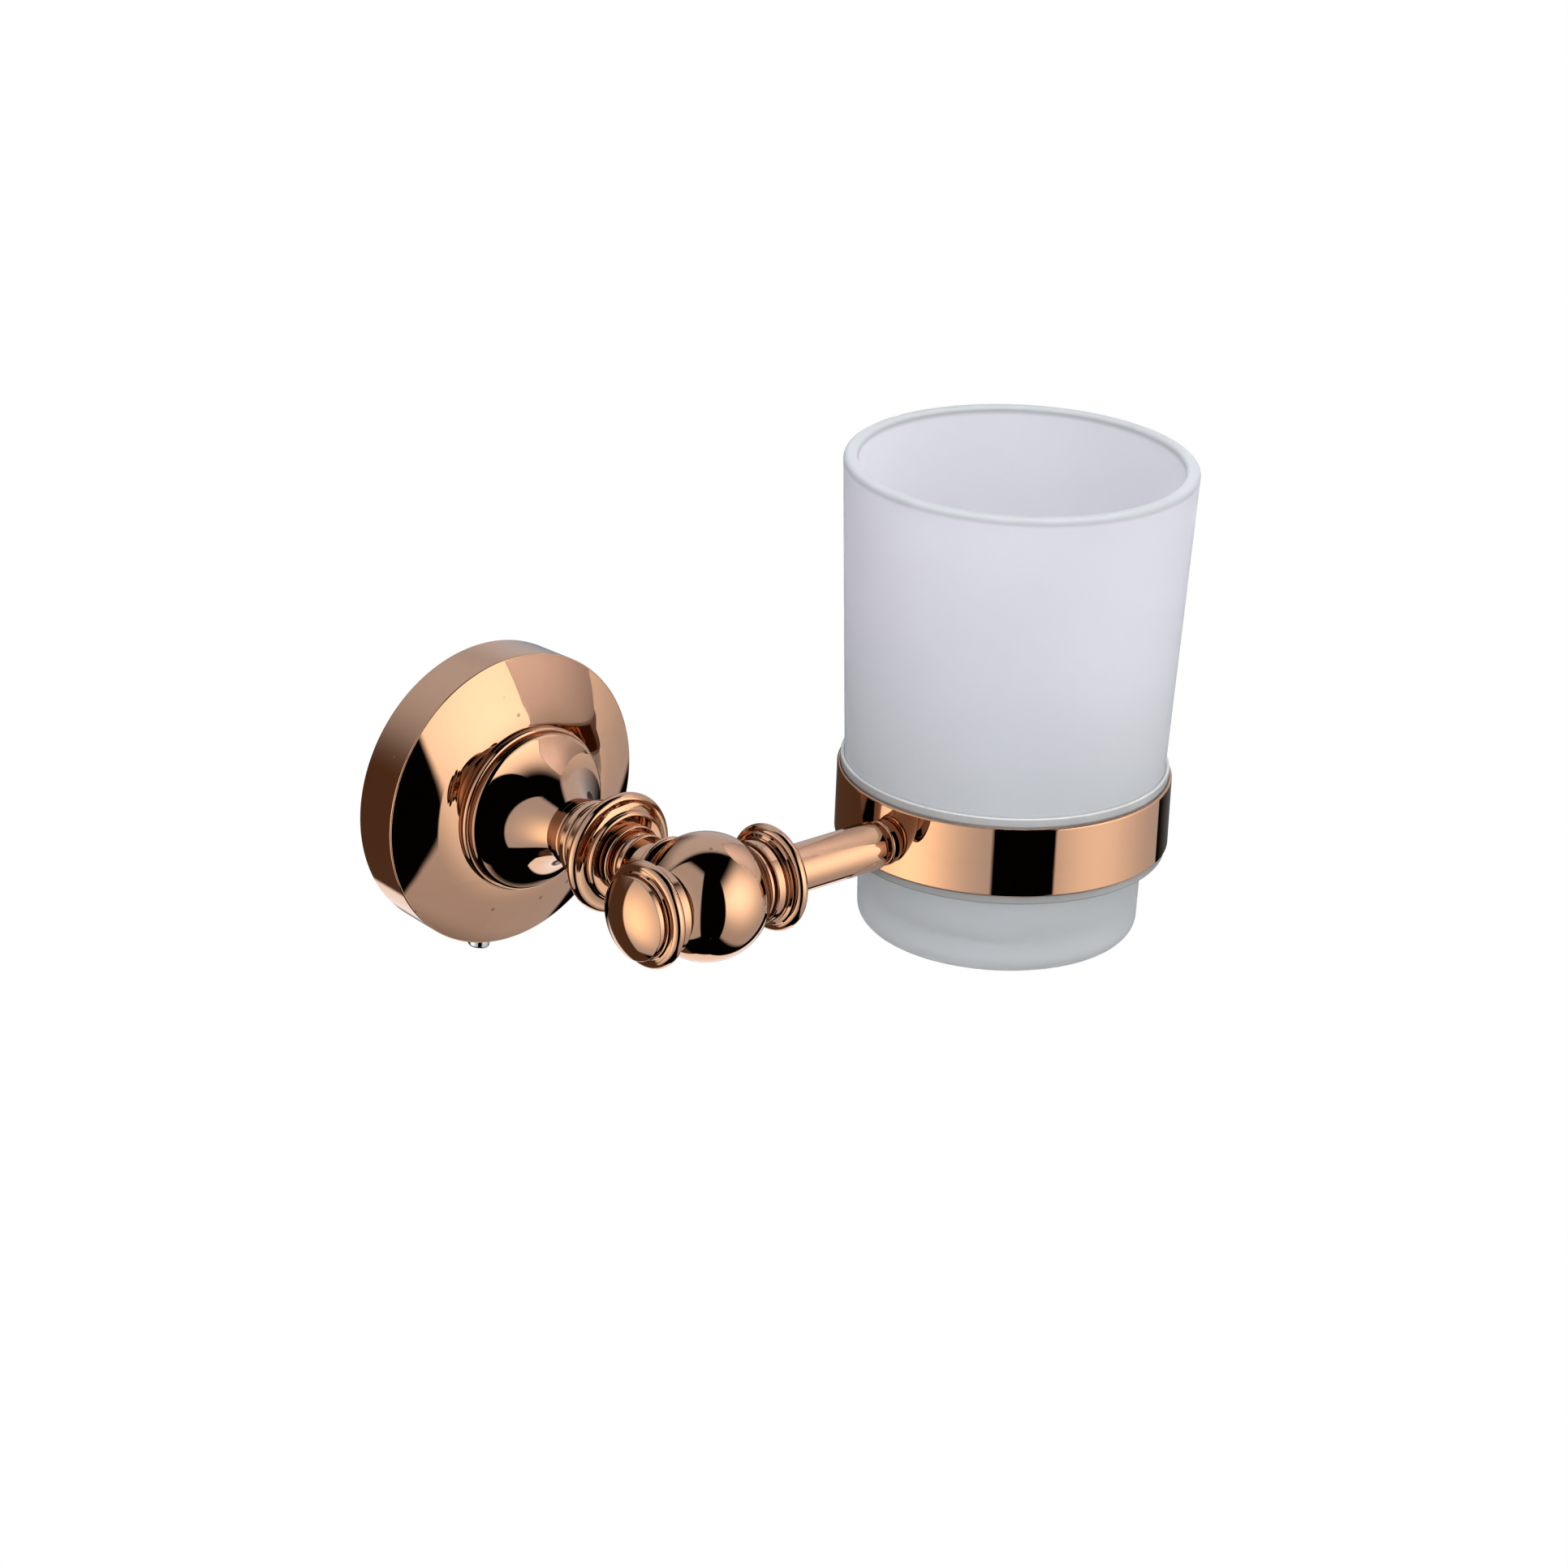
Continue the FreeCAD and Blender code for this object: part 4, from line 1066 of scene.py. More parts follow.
@dataclass
class PostTurnings(SubAssembly):
    """The post's pieces from the bead on the flange to the ball's seat."""

    bore: float = 4.1
    flange_top: float = 15.4
    bead_radius: float = 16.9
    bead_height: float = 1.5
    cove_radius: float = 15.6
    boss_start: float = 17.2
    boss_radius: float = 16.1
    boss_end: float = 18.2
    boss_round: float = 1.8
    dome_radius: float = 15.4
    dome_start: float = 18.8
    neck_radius: float = 6.4
    neck_start: float = 29.2
    neck_arc: float = 18.27
    boss_top: float = 30.6
    sleeve_small: float = 6.9
    sleeve_waist: float = 6.3
    sleeve_large: float = 8.1
    sleeve_groove: float = 7.6
    sleeve_end: float = 8.5
    sleeve_top: float = 39.0
    collar_radius: float = 12.2
    collar_round: float = 1.25
    collar_middle: float = 43.1
    collar_flare: float = 4.6
    collar_dip: float = 3.2
    collar_step: float = 9.2
    collar_step_base: float = 44.9
    collar_bead: float = 0.85
    collar_top: float = 46.2
    step_radii: tuple[float, ...] = (6.85, 5.9, 6.15)
    step_ends: tuple[float, ...] = (47.7, 49.3, 51.1)
    step_groove: float = 0.45
    step_crown: float = 0.35
    tube_radius: float = 5.05
    seat_radius: float = 8.0
    seat_start: float = 56.9
    seat_end: float = 58.1
    seat_crown: float = 0.45

    def build(self) -> None:
        """Turn every piece of the post in its order from the wall."""
        axle = Axle.along(Direction.POST)
        start = self.flange_top
        end = start + self.bead_height
        crown = self.bead_height / 2.0
        bead = full_round(self.bead_radius, start + crown, crown)
        self.turn("bead_ring", bored(bead, start, end, self.bore), axle, 160)
        self.turn("dome_boss", bored(self.dome(end), end, self.boss_top, self.bore), axle, 192)
        self.turn("neck_sleeve", bored(self.sleeve(), self.boss_top, self.sleeve_top, self.bore), axle)
        self.turn("post_collar", bored(self.collar(), self.sleeve_top, self.collar_top, self.bore), axle, 160)
        self.turn("step_cone", bored(self.steps(), self.collar_top, self.step_ends[-1], self.bore), axle)
        tube = [(self.tube_radius, self.step_ends[-1]), (self.tube_radius, self.seat_start)]
        self.turn("post_neck", bored(tube, self.step_ends[-1], self.seat_start, self.bore), axle, soften=0.0)
        seat = crowned(self.seat_radius, self.seat_start, self.seat_end, self.seat_crown)
        self.turn("ball_seat_ring", bored(seat, self.seat_start, self.seat_end, self.bore), axle)

    def dome(self, start: float) -> Outline:
        """The dome: a cove, a straight band and a sweep up into the neck like a bell's."""
        return [
            (self.cove_radius, start), Arc(self.boss_start - start, -1),
            (self.boss_radius - 0.3, self.boss_start), Arc(0.4),
            (self.boss_radius, self.boss_start + 0.35), (self.boss_radius, self.boss_end),
            Arc(self.boss_round), (self.dome_radius, self.dome_start), Arc(self.neck_arc, -1),
            (self.neck_radius, self.neck_start), (self.neck_radius, self.boss_top),
        ]

    def sleeve(self) -> Outline:
        """The sleeve's small ring, waist, large ring and groove, with rises from where it starts."""
        start, small, waist, large = self.boss_top, self.sleeve_small, self.sleeve_waist, self.sleeve_large
        return [
            (small - 0.5, start), Arc(0.6), (small, start + 0.5), (small, start + 2.0), Arc(0.6),
            (small - 0.5, start + 2.5), (waist, start + 2.8), (waist, start + 3.3),
            (large - 0.6, start + 3.9), Arc(0.8), (large, start + 4.6),
            (large, start + 5.7), Arc(0.6), (large - 0.4, start + 6.1),
            (self.sleeve_groove, start + 6.3), (self.sleeve_groove, start + 6.7),
            (self.sleeve_end - 0.3, start + 6.9), Arc(0.5), (self.sleeve_end, start + 7.3),
            (self.sleeve_end, self.sleeve_top),
        ]

    def collar(self) -> Outline:
        """The collar's flare, round rim, dip and raised bead."""
        step, bead = self.collar_step, self.collar_bead
        flare = [(self.sleeve_end, self.sleeve_top), Arc(self.collar_flare, -1)]
        rim = full_round(self.collar_radius, self.collar_middle, self.collar_round)
        raised = [
            Arc(self.collar_dip, -1), (step, self.collar_step_base), (step, self.collar_top - bead),
            Arc(bead), (step - bead, self.collar_top),
        ]
        return flare + rim + raised

    def steps(self) -> Outline:
        """Three telescoping rings with a groove after each of the first two."""
        start = self.collar_top
        waist = self.step_radii[1] - self.step_groove
        outline: Outline = []
        for radius, end in zip(self.step_radii, self.step_ends):
            outline += crowned(radius, start, end, self.step_crown)
            if end < self.step_ends[-1]:
                outline += [(waist, end), (waist, end + self.step_groove)]
            start = end + self.step_groove
        return outline


@dataclass
class PostFixing(SubAssembly):
    """The stud, nut and spring washer that pull the post together inside the flange."""

    stud_radius: float = 4.0
    stud_start: float = 4.6
    stud_end: float = 63.4
    nut_radius: float = 7.5
    nut_height: float = 4.8
    nut_bore: float = 4.1
    nut_angle: float = 30.0
    nut_edge: float = 0.1
    nut_past: float = 1.0
    washer_radius: float = 6.8
    washer_bore: float = 4.2
    washer_height: float = 1.2
    washer_sweep: float = 345.0
    washer_lift: float = 0.2
    washer_steps: int = 90
    seat: float = 11.6
    thread: Thread = Thread(1.25, 0.6)

    def build(self) -> None:
        """Make the three pieces."""
        axle = Axle.along(Direction.POST)
        stud = self.thread.rod("post_stud_threaded", self.stud_radius, self.stud_start, self.stud_end, axle)
        self.fit(stud, "post_stud", Body.HOLDER, self.finishes.steel)
        self.build_nut(axle)
        self.build_washer(axle)

    def build_nut(self, axle: Axle) -> None:
        """A hexagon nut, chamfered on both faces: a hexagon bar kept inside a turned blank."""
        end = self.seat - self.washer_height
        start = end - self.nut_height
        slope = math.radians(self.nut_angle)
        rim = self.nut_radius * math.cos(slope) + self.nut_edge
        chamfer = (self.nut_radius - rim) * math.tan(slope)
        outline = [(self.nut_bore, start), (rim, start), (self.nut_radius, start + chamfer),
                   (self.nut_radius, end - chamfer), (rim, end), (self.nut_bore, end)]
        item = turned("post_nut_hexagon", Profile(outline, 0.0), axle, 96)
        bar = [(0.0, start - self.nut_past), (self.nut_radius, start - self.nut_past),
               (self.nut_radius, end + self.nut_past), (0.0, end + self.nut_past)]
        carve(item, [turned("tool", Profile(bar, 0.0), axle, 6)], "INTERSECT")
        smooth_by_angle(item.data, 20.0)
        self.fit(item, "post_nut", Body.HOLDER, self.finishes.steel)

    def build_washer(self, axle: Axle) -> None:
        """A split spring washer, one end lifted a little above the other."""
        steps = self.washer_steps
        height = self.washer_height - self.washer_lift
        low = self.seat - self.washer_height
        places, faces = [], []
        for step in range(steps + 1):
            share = step / steps
            angle = math.radians(self.washer_sweep) * share
            base = low + self.washer_lift * share
            for radius, rise in ((self.washer_bore, 0.0), (self.washer_radius, 0.0),
                                 (self.washer_radius, height), (self.washer_bore, height)):
                places.append((radius * math.cos(angle), radius * math.sin(angle), base + rise))
        for step in range(steps):
            for side in range(4):
                first, second = step * 4 + side, step * 4 + (side + 1) % 4
                faces.append((first, first + 4, second + 4, second))
        faces.append((0, 1, 2, 3))
        faces.append(tuple(steps * 4 + side for side in (3, 2, 1, 0)))
        mesh = bpy.data.meshes.new("lock_washer_split")
        mesh.from_pydata(places, [], faces)
        mesh.transform(axle.matrix())
        smooth_by_angle(mesh)
        item = new_object("lock_washer_split", mesh)
        self.fit(item, "lock_washer", Body.HOLDER, self.finishes.steel)


@dataclass
class Ball(SubAssembly):
    """The polished ball, its flats and bores, and the stud that runs through it."""

    radius: float = 12.5
    flat: float = 10.0
    cross_bore: float = 3.1
    post_bore: float = 4.1
    post_bore_depth: float = 5.6
    stud_radius: float = 3.0
    stud_start: float = -17.0
    stud_end: float = 29.0
    thread: Thread = Thread(1.0, 0.45)

    def build(self) -> None:
        """Turn the ball, cut the post's flat and bore, and run the cross stud through."""
        centre = ball_centre()
        axle = Axle.along(Direction.ARM, centre)
        edge = math.sqrt(self.radius ** 2 - self.flat ** 2)
        profile = Profile(bored([(edge, -self.flat), Arc(self.radius), (edge, self.flat)],
                                -self.flat, self.flat, self.cross_bore), 0.05)
        item = turned("ball_polished", profile, axle, 192)
        face = centre + Vector((0.0, self.flat, 0.0))
        away = Vector((0.0, self.radius, 0.0))
        floor = face - Vector((0.0, self.post_bore_depth, 0.0))
        carve(item, [rod_tool(face, face + away, self.radius, 64),
                     rod_tool(floor, face + away, self.post_bore, 64)])
        refine_normals(item, profile, axle)
        self.fit(item, "ball_hub", Body.HOLDER, self.finishes.rose_gold)
        stud = self.thread.rod("cross_stud_threaded", self.stud_radius, self.stud_start, self.stud_end, axle)
        self.fit(stud, "cross_stud", Body.HOLDER, self.finishes.steel)


@dataclass
class Finial(SubAssembly):
    """The ring, disc and domed cap on the ball's free side."""

    bore: float = 3.1
    ring_radius: float = 8.65
    ring_start: float = 10.0
    ring_end: float = 12.9
    disc_radius: float = 10.6
    disc_round: float = 1.35
    disc_middle: float = 14.5
    disc_face: float = 9.0
    disc_end: float = 16.4
    thin_ring: float = 8.45
    cap_groove: float = 7.7
    cap_band_start: float = 16.9
    cap_radius: float = 8.3
    cap_band_end: float = 18.1
    cap_top: float = 20.5
    cap_bore_end: float = 17.5

    def build(self) -> None:
        """Turn the three pieces."""
        axle = Axle.along(Direction.FINIAL, ball_centre())
        radius = self.ring_radius
        ring = [
            (radius - 0.9, self.ring_start), (radius - 0.5, self.ring_start + 0.3), Arc(0.7),
            (radius, self.ring_start + 0.8), (radius, self.ring_end - 0.2), (radius - 0.2, self.ring_end),
        ]
        self.turn("finial_ring", bored(ring, self.ring_start, self.ring_end, self.bore), axle)
        disc = [(self.disc_face - 0.4, self.ring_end)]
        disc += full_round(self.disc_radius, self.disc_middle, self.disc_round)
        disc += [
            (self.disc_face - 0.3, self.disc_middle + self.disc_round + 0.1),
            (self.thin_ring, self.disc_end - 0.1), (self.thin_ring - 0.25, self.disc_end),
        ]
        self.turn("finial_disc", bored(disc, self.ring_end, self.disc_end, self.bore), axle, 160)
        self.turn("finial_cap", self.cap(), axle, 160)

    def cap(self) -> Outline:
        """The cap's groove, narrow band and dome, over its blind bore."""
        radius = self.cap_radius
        edge = radius - 0.1
        rise = self.cap_top - self.cap_band_end
        sphere = (edge ** 2 + rise ** 2) / (2.0 * rise)
        return [
            (self.bore, self.disc_end), (self.cap_groove, self.disc_end),
            (self.cap_groove, self.cap_band_start - 0.15), (radius - 0.2, self.cap_band_start),
            (radius, self.cap_band_start + 0.2), (radius, self.cap_band_end - 0.1), (edge, self.cap_band_end),
            Arc(sphere), (0.0, self.cap_top), (0.0, self.cap_bore_end), (self.bore, self.cap_bore_end),
        ]


@dataclass
class Arm(SubAssembly):
    """The collar, rod and tip washer that carry the ring, and the screw through them."""

    bore: float = 3.1
    seat_radius: float = 7.7
    seat_start: float = 10.0
    seat_end: float = 10.9
    waist_radius: float = 7.1
    band_start: float = 11.3
    band_radius: float = 8.25
    band_end: float = 13.2
    band_groove: float = 7.7
    disc_start: float = 13.5
    thin_ring: float = 8.45
    disc_face: float = 9.0
    disc_radius: float = 10.6
    disc_round: float = 1.35
    disc_middle: float = 15.9
    disc_end: float = 17.5
    boss_radius: float = 7.4
    boss_end: float = 18.8
    boss_round: float = 0.4
    rod_radius: float = 4.8
    rod_end: float = 42.9
    rod_round: float = 1.1
    stud_bore_end: float = 30.0
    neck_radius: float = 3.6
    washer_start: float = 43.8
    washer_radius: float = 4.55
    washer_end: float = 45.4
    washer_round: float = 0.5
    screw_radius: float = 1.95
    screw_bore: float = 2.05
    screw_start: float = 33.0
    screw_seat: float = 45.9
    screw_head: float = 3.5
    screw_head_height: float = 1.2
    screw_slot_depth: float = 0.6
    screw_slot_width: float = 0.7
    screw_slot_turn: float = 90.0
    band_outside: float = 33.1
    thread: Thread = Thread(0.7, 0.32)

    def build(self) -> None:
        """Turn the collar's three pieces and the rod, then the tip."""
        axle = Axle.along(Direction.ARM, ball_centre())
        seat = crowned(self.seat_radius, self.seat_start, self.seat_end, 0.3)
        self.turn("arm_seat_ring", bored(seat, self.seat_start, self.seat_end, self.bore), axle)
        radius = self.band_radius
        band = [
            (self.waist_radius, self.seat_end), (self.waist_radius, self.band_start - 0.1),
            (radius - 0.2, self.band_start), (radius, self.band_start + 0.2), (radius, self.band_end - 0.2),
            (radius - 0.2, self.band_end), (self.band_groove, self.band_end + 0.1),
            (self.band_groove, self.disc_start),
        ]
        self.turn("arm_band_ring", bored(band, self.seat_end, self.disc_start, self.bore), axle)
        self.turn("arm_disc", bored(self.disc(), self.disc_start, self.boss_end, self.bore), axle, 160)
        self.turn("arm_rod", self.rod(), axle)
        self.build_tip(axle)

    def disc(self) -> Outline:
        """The thin ring, large round disc and stepped boss."""
        start, thin, boss, crown = self.disc_start, self.thin_ring, self.boss_radius, self.boss_round
        ring = [
            (thin - 0.25, start), (thin, start + 0.1), (thin, start + 0.35), (thin - 0.1, start + 0.45),
            (self.disc_face, start + 0.7),
        ]
        step = [
            (boss, self.disc_end), (boss, self.boss_end - crown), Arc(crown), (boss - crown, self.boss_end),
        ]
        return ring + full_round(self.disc_radius, self.disc_middle, self.disc_round) + step

    def rod(self) -> Outline:
        """The rod with its rounded end and narrow neck, bored from both ends."""
        crown = self.rod_round
        return [
            (self.bore, self.boss_end), (self.rod_radius, self.boss_end),
            (self.rod_radius, self.rod_end - crown), Arc(crown), (self.rod_radius - crown, self.rod_end),
            (self.neck_radius, self.rod_end), (self.neck_radius, self.washer_start),
            (self.screw_bore, self.washer_start), (self.screw_bore, self.screw_start - 0.5),
            (0.0, self.screw_start - 0.5), (0.0, self.stud_bore_end), (self.bore, self.stud_bore_end),
        ]

    def build_tip(self, axle: Axle) -> None:
        """The washer hollowed to sit on the band, and the low-headed screw from inside it."""
        crown = self.washer_round
        outline = [
            (self.washer_radius - crown, self.washer_start), Arc(crown),
            (self.washer_radius, self.washer_start + crown), (self.washer_radius, self.washer_end),
        ]
        profile = Profile(bored(outline, self.washer_start, self.washer_end, self.screw_bore), 0.04)
        washer = turned("arm_tip_washer_turned", profile, axle, 96)
        middle = ring_centre()
        reach = Vector((0.0, 0.0, 10.0))
        carve(washer, [rod_tool(middle - reach, middle + reach, self.band_outside, 256)])
        refine_normals(washer, profile, axle)
        self.fit(washer, "arm_tip_washer", Body.HOLDER, self.finishes.rose_gold)
        top = self.screw_seat + self.screw_head_height
        wide = self.screw_head
        head = [(wide, self.screw_seat), (wide, top - 0.4), (wide - 0.12, top - 0.15), (wide - 0.4, top)]
        screw = self.thread.rod("ring_screw_cut", self.screw_radius, self.screw_start, self.screw_seat,
                                axle, head)
        carve(screw, [block_tool(axle, top, wide * 2.4, self.screw_slot_width, self.screw_slot_depth,
                                 self.screw_slot_turn)])
        smooth_by_angle(screw.data)
        self.fit(screw, "ring_screw", Body.HOLDER, self.finishes.steel)


@dataclass
class RingAndLiner(SubAssembly):
    """The polished hoop and the plastic liner that turns in it."""

    band_radius: float = 33.1
    band_wall: float = 0.8
    band_bottom: float = -6.1
    band_height: float = 14.15
    band_hole: float = 2.15
    drill_past: float = 3.0
    drill_length: float = 8.0
    liner_bottom: float = -8.0
    liner_top: float = 9.95
    liner_radius: float = 32.22
    lip_radius: float = 32.5
    groove_radius: float = 30.4
    groove_start: float = 3.6
    groove_end: float = 12.7
    liner_bore: float = 28.95
    liner_seat: float = 13.0
    mouth_radius: float = 31.9

    def build(self) -> None:
        """Roll the hoop and mould the liner."""
        middle = ring_centre()
        self.build_band(middle)
        low = self.band_bottom - self.liner_bottom
        high = low + self.band_height
        top = self.liner_top - self.liner_bottom
        lip, outer, groove, mouth = self.lip_radius, self.liner_radius, self.groove_radius, self.mouth_radius
        outline = [
            (self.liner_bore + 0.3, 0.0), (lip - 0.5, 0.0), Arc(0.5), (lip, 0.5), (lip, low - 0.3),
            (outer, low - 0.1), (outer, self.groove_start), (groove, self.groove_start + 0.6),
            (groove, self.groove_end - 0.6), (outer, self.groove_end), (outer, high + 0.1), (lip, high + 0.3),
            (lip, top - 0.25), Arc(0.25), (lip - 0.25, top), (mouth, top), (mouth, top - 1.0),
            (mouth - 0.6, top - 2.1), (self.liner_bore, self.liner_seat), (self.liner_bore, 0.3),
        ]
        axle = Axle.along(Direction.UP, middle + Vector((0.0, 0.0, self.liner_bottom)))
        liner = turned("liner_moulded", Profile(outline, 0.08), axle, 192)
        self.fit(liner, "liner_ring", Body.LINER, self.finishes.plastic)

    def build_band(self, middle: Vector) -> None:
        """The hoop with round edges, and the hole for its screw on the arm's side."""
        outer, half, top = self.band_radius, self.band_wall / 2.0, self.band_height
        inner = outer - self.band_wall
        profile = Profile([
            (inner, half), Arc(half), (inner + half, 0.0), Arc(half), (outer, half), (outer, top - half),
            Arc(half), (inner + half, top), Arc(half), (inner, top - half),
        ], 0.0)
        axle = Axle.along(Direction.UP, middle + Vector((0.0, 0.0, self.band_bottom)))
        band = turned("ring_band_polished", profile, axle, 288)
        start = middle - Vector((outer + self.drill_past, 0.0, 0.0))
        carve(band, [rod_tool(start, start + Vector((self.drill_length, 0.0, 0.0)), self.band_hole, 48)])
        refine_normals(band, profile, axle)
        self.fit(band, "ring_band", Body.HOLDER, self.finishes.rose_gold)


@dataclass
class Tumbler(SubAssembly):
    """The frosted tumbler: a narrow foot, a shoulder that sits in the liner and a flared body."""

    base: float = -25.3
    height: float = 97.1
    rim_radius: float = 34.6
    rim_wall: float = 2.8
    rim_round: float = 1.1
    foot_radius: float = 27.85
    heel_round: float = 3.7
    waist_radius: float = 28.6
    waist_height: float = 30.3
    shoulder_radius: float = 31.0
    shoulder_height: float = 33.3
    shoulder_arc: float = 4.0
    body_radius: float = 31.75
    body_height: float = 36.0
    floor: float = 4.6
    inner_round: float = 6.0
    wall: float = 2.7
    neck_arc: float = 7.0

    def build(self) -> None:
        """Blow the tumbler as one closed turned solid."""
        rim, top, lip, wall = self.rim_radius, self.height, self.rim_round, self.wall
        foot, heel, waist = self.foot_radius, self.heel_round, self.waist_radius
        outside = [
            (0.0, 0.5), (foot - heel - 2.0, 0.5), (foot - heel - 1.2, 0.0), (foot - heel, 0.0), Arc(heel),
            (foot, heel), (waist, self.waist_height), (self.shoulder_radius, self.shoulder_height),
            Arc(self.shoulder_arc), (self.body_radius, self.body_height), (rim, top - lip), Arc(lip),
            (rim - lip, top), (rim - self.rim_wall + lip * 0.6, top), Arc(lip * 0.75),
        ]
        inside = [
            (rim - self.rim_wall, top - lip * 0.7), (self.body_radius - wall, self.body_height + 1.5),
            Arc(self.neck_arc, -1), (waist - wall, self.waist_height - 1.0),
            (foot - wall, self.floor + self.inner_round), Arc(self.inner_round, -1),
            (foot - wall - self.inner_round, self.floor), (0.0, self.floor),
        ]
        axle = Axle.along(Direction.UP, ring_centre() + Vector((0.0, 0.0, self.base)))
        item = turned("tumbler_frosted", Profile(outside + inside, 0.12), axle, 224)
        self.fit(item, "tumbler", Body.TUMBLER, self.finishes.glass)


# ------------------------------------------------------------------------------------------ studio


@dataclass(frozen=True)
class LightPanel:
    """A soft box of the studio, seen by reflections as a flat panel a long way off.

    Azimuths are in degrees from -Y towards -X.  low and high are the panel's edges as the tangent of
    their angle above the horizon at the panel's middle.  glow is added round the panel's hot spot.
    """

    azimuth: float
    half_width: float
    low: float
    high: float
    colour: Colour
    edge: float = 1.2
    low_edge: float = 0.12
    high_edge: float = 0.12
    glow: Colour = (0.0, 0.0, 0.0)
    hot_azimuth: float = 0.0
    hot_rise: float = 0.0
    hot_width: float = 30.0
    hot_height: float = 0.6


@dataclass(frozen=True)
class Lamp:
    """A square soft lamp aimed at the hoop: its place and size in millimetres, and its watts."""

    name: str
    place: Place
    size: float
    power: float


@dataclass
class Studio:
    """The camera, the panels that the metal mirrors, the lamps and the floor.

    camera_offset runs from the ball's centre.  second_glance dims the panels where one mirror shows
    another, and floor_light is how strongly the floor lights the holder.
    """

    camera_offset: Place = (-648.428, -745.062, 429.370)
    yaw: float = 41.84
    pitch: float = 22.33
    roll: float = -2.44
    lens: float = 130.43
    sensor: float = 36.0
    clip_end: float = 50.0
    floor_height: float = -300.0
    floor_half: float = 9000.0
    floor_light: float = 0.3
    second_glance: float = 0.4
    gap_tone: Colour = (0.001, 0.001, 0.001)
    backdrop: Colour = (1.0, 1.0, 1.0)
    panels: tuple[LightPanel, ...] = (
        LightPanel(-150.0, 70.0, -0.25, 3.0, (0.54, 0.61, 0.70), edge=10.0, low_edge=0.5, high_edge=1.0),
        LightPanel(170.0, 42.0, -4.0, 0.5, (0.08, 0.048, 0.03), edge=6.0, low_edge=0.8, high_edge=0.45),
        LightPanel(-142.0, 32.0, -6.0, -0.62, (1.0, 1.03, 1.05), edge=3.0, low_edge=0.5, high_edge=0.1),
        LightPanel(-43.5, 49.0, -1.9, 1.30, (0.44, 0.46, 0.50), high_edge=0.5, low_edge=0.3,
                   glow=(1.25, 1.22, 1.05), hot_azimuth=22.0, hot_rise=0.25, hot_width=44.0, hot_height=0.75),
        LightPanel(92.5, 43.5, -1.7, 2.6, (0.46, 0.51, 0.58), edge=1.5, high_edge=0.8,
                   glow=(1.15, 0.98, 0.64), hot_azimuth=20.0, hot_rise=-0.3, hot_width=35.0, hot_height=0.65),
    )
    lamps: tuple[Lamp, ...] = (
        Lamp("lamp_top", (40.0, -200.0, 900.0), 800.0, 21.0),
        Lamp("lamp_front", (-500.0, -800.0, 350.0), 700.0, 4.6),
        Lamp("lamp_right", (700.0, -300.0, 300.0), 600.0, 1.3),
    )

    def build(self) -> None:
        """Set the whole studio up."""
        self.build_camera()
        self.build_world()
        self.build_lamps()
        self.build_floor()
        bpy.context.scene.view_settings.view_transform = "Standard"

    def build_camera(self) -> None:
        """Aim the camera from in front, left of the holder and above it."""
        yaw, pitch, roll = (math.radians(angle) for angle in (self.yaw, self.pitch, self.roll))
        level = math.cos(pitch)
        forward = Vector((math.sin(yaw) * level, math.cos(yaw) * level, -math.sin(pitch)))
        right = Vector((math.cos(yaw), -math.sin(yaw), 0.0))
        down = forward.cross(right)
        across = right * math.cos(roll) + down * math.sin(roll)
        below = down * math.cos(roll) - right * math.sin(roll)
        camera = bpy.data.cameras.new("camera")
        camera.lens = self.lens
        camera.sensor_width = self.sensor
        camera.clip_end = self.clip_end
        item = bpy.data.objects.new("camera", camera)
        turn = Matrix((across, -below, -forward)).transposed()
        place = (ball_centre() + Vector(self.camera_offset)) * MM
        item.matrix_world = Matrix.Translation(place) @ turn.to_4x4()
        bpy.context.scene.collection.objects.link(item)
        bpy.context.scene.camera = item

    def build_world(self) -> None:
        """Paint the panels round the holder, dimmer where one mirror shows another.

        The camera itself sees a plain backdrop.
        """
        world = bpy.data.worlds.new("studio")
        world.use_nodes = True
        bpy.context.scene.world = world
        desk = NodeDesk(world.node_tree)
        where = desk.add("ShaderNodeTexCoord").outputs["Generated"]
        colour: object = self.gap_tone
        for panel in self.panels:
            mask, bell = self.paint(desk, where, panel)
            glow = desk.add("ShaderNodeVectorMath", {0: panel.glow, "Scale": bell}, operation="SCALE")
            tone = desk.add("ShaderNodeVectorMath", {0: panel.colour, 1: glow.outputs["Vector"]},
                            operation="ADD")
            colour = desk.mix(mask, colour, tone.outputs["Vector"])
        path = desk.add("ShaderNodeLightPath")
        again = desk.sum("GREATER_THAN", path.outputs["Glossy Depth"], 1.5)
        strength = desk.sum("MULTIPLY_ADD", again, self.second_glance - 1.0, 1.0)
        mirrored = desk.add("ShaderNodeBackground", {"Color": colour, "Strength": strength})
        seen = desk.add("ShaderNodeBackground", {"Color": (*self.backdrop, 1.0), "Strength": 1.0})
        pick = desk.add("ShaderNodeMixShader", {0: path.outputs["Is Camera Ray"]})
        output = desk.add("ShaderNodeOutputWorld")
        desk.tree.links.new(mirrored.outputs[0], pick.inputs[1])
        desk.tree.links.new(seen.outputs[0], pick.inputs[2])
        desk.tree.links.new(pick.outputs[0], output.inputs["Surface"])

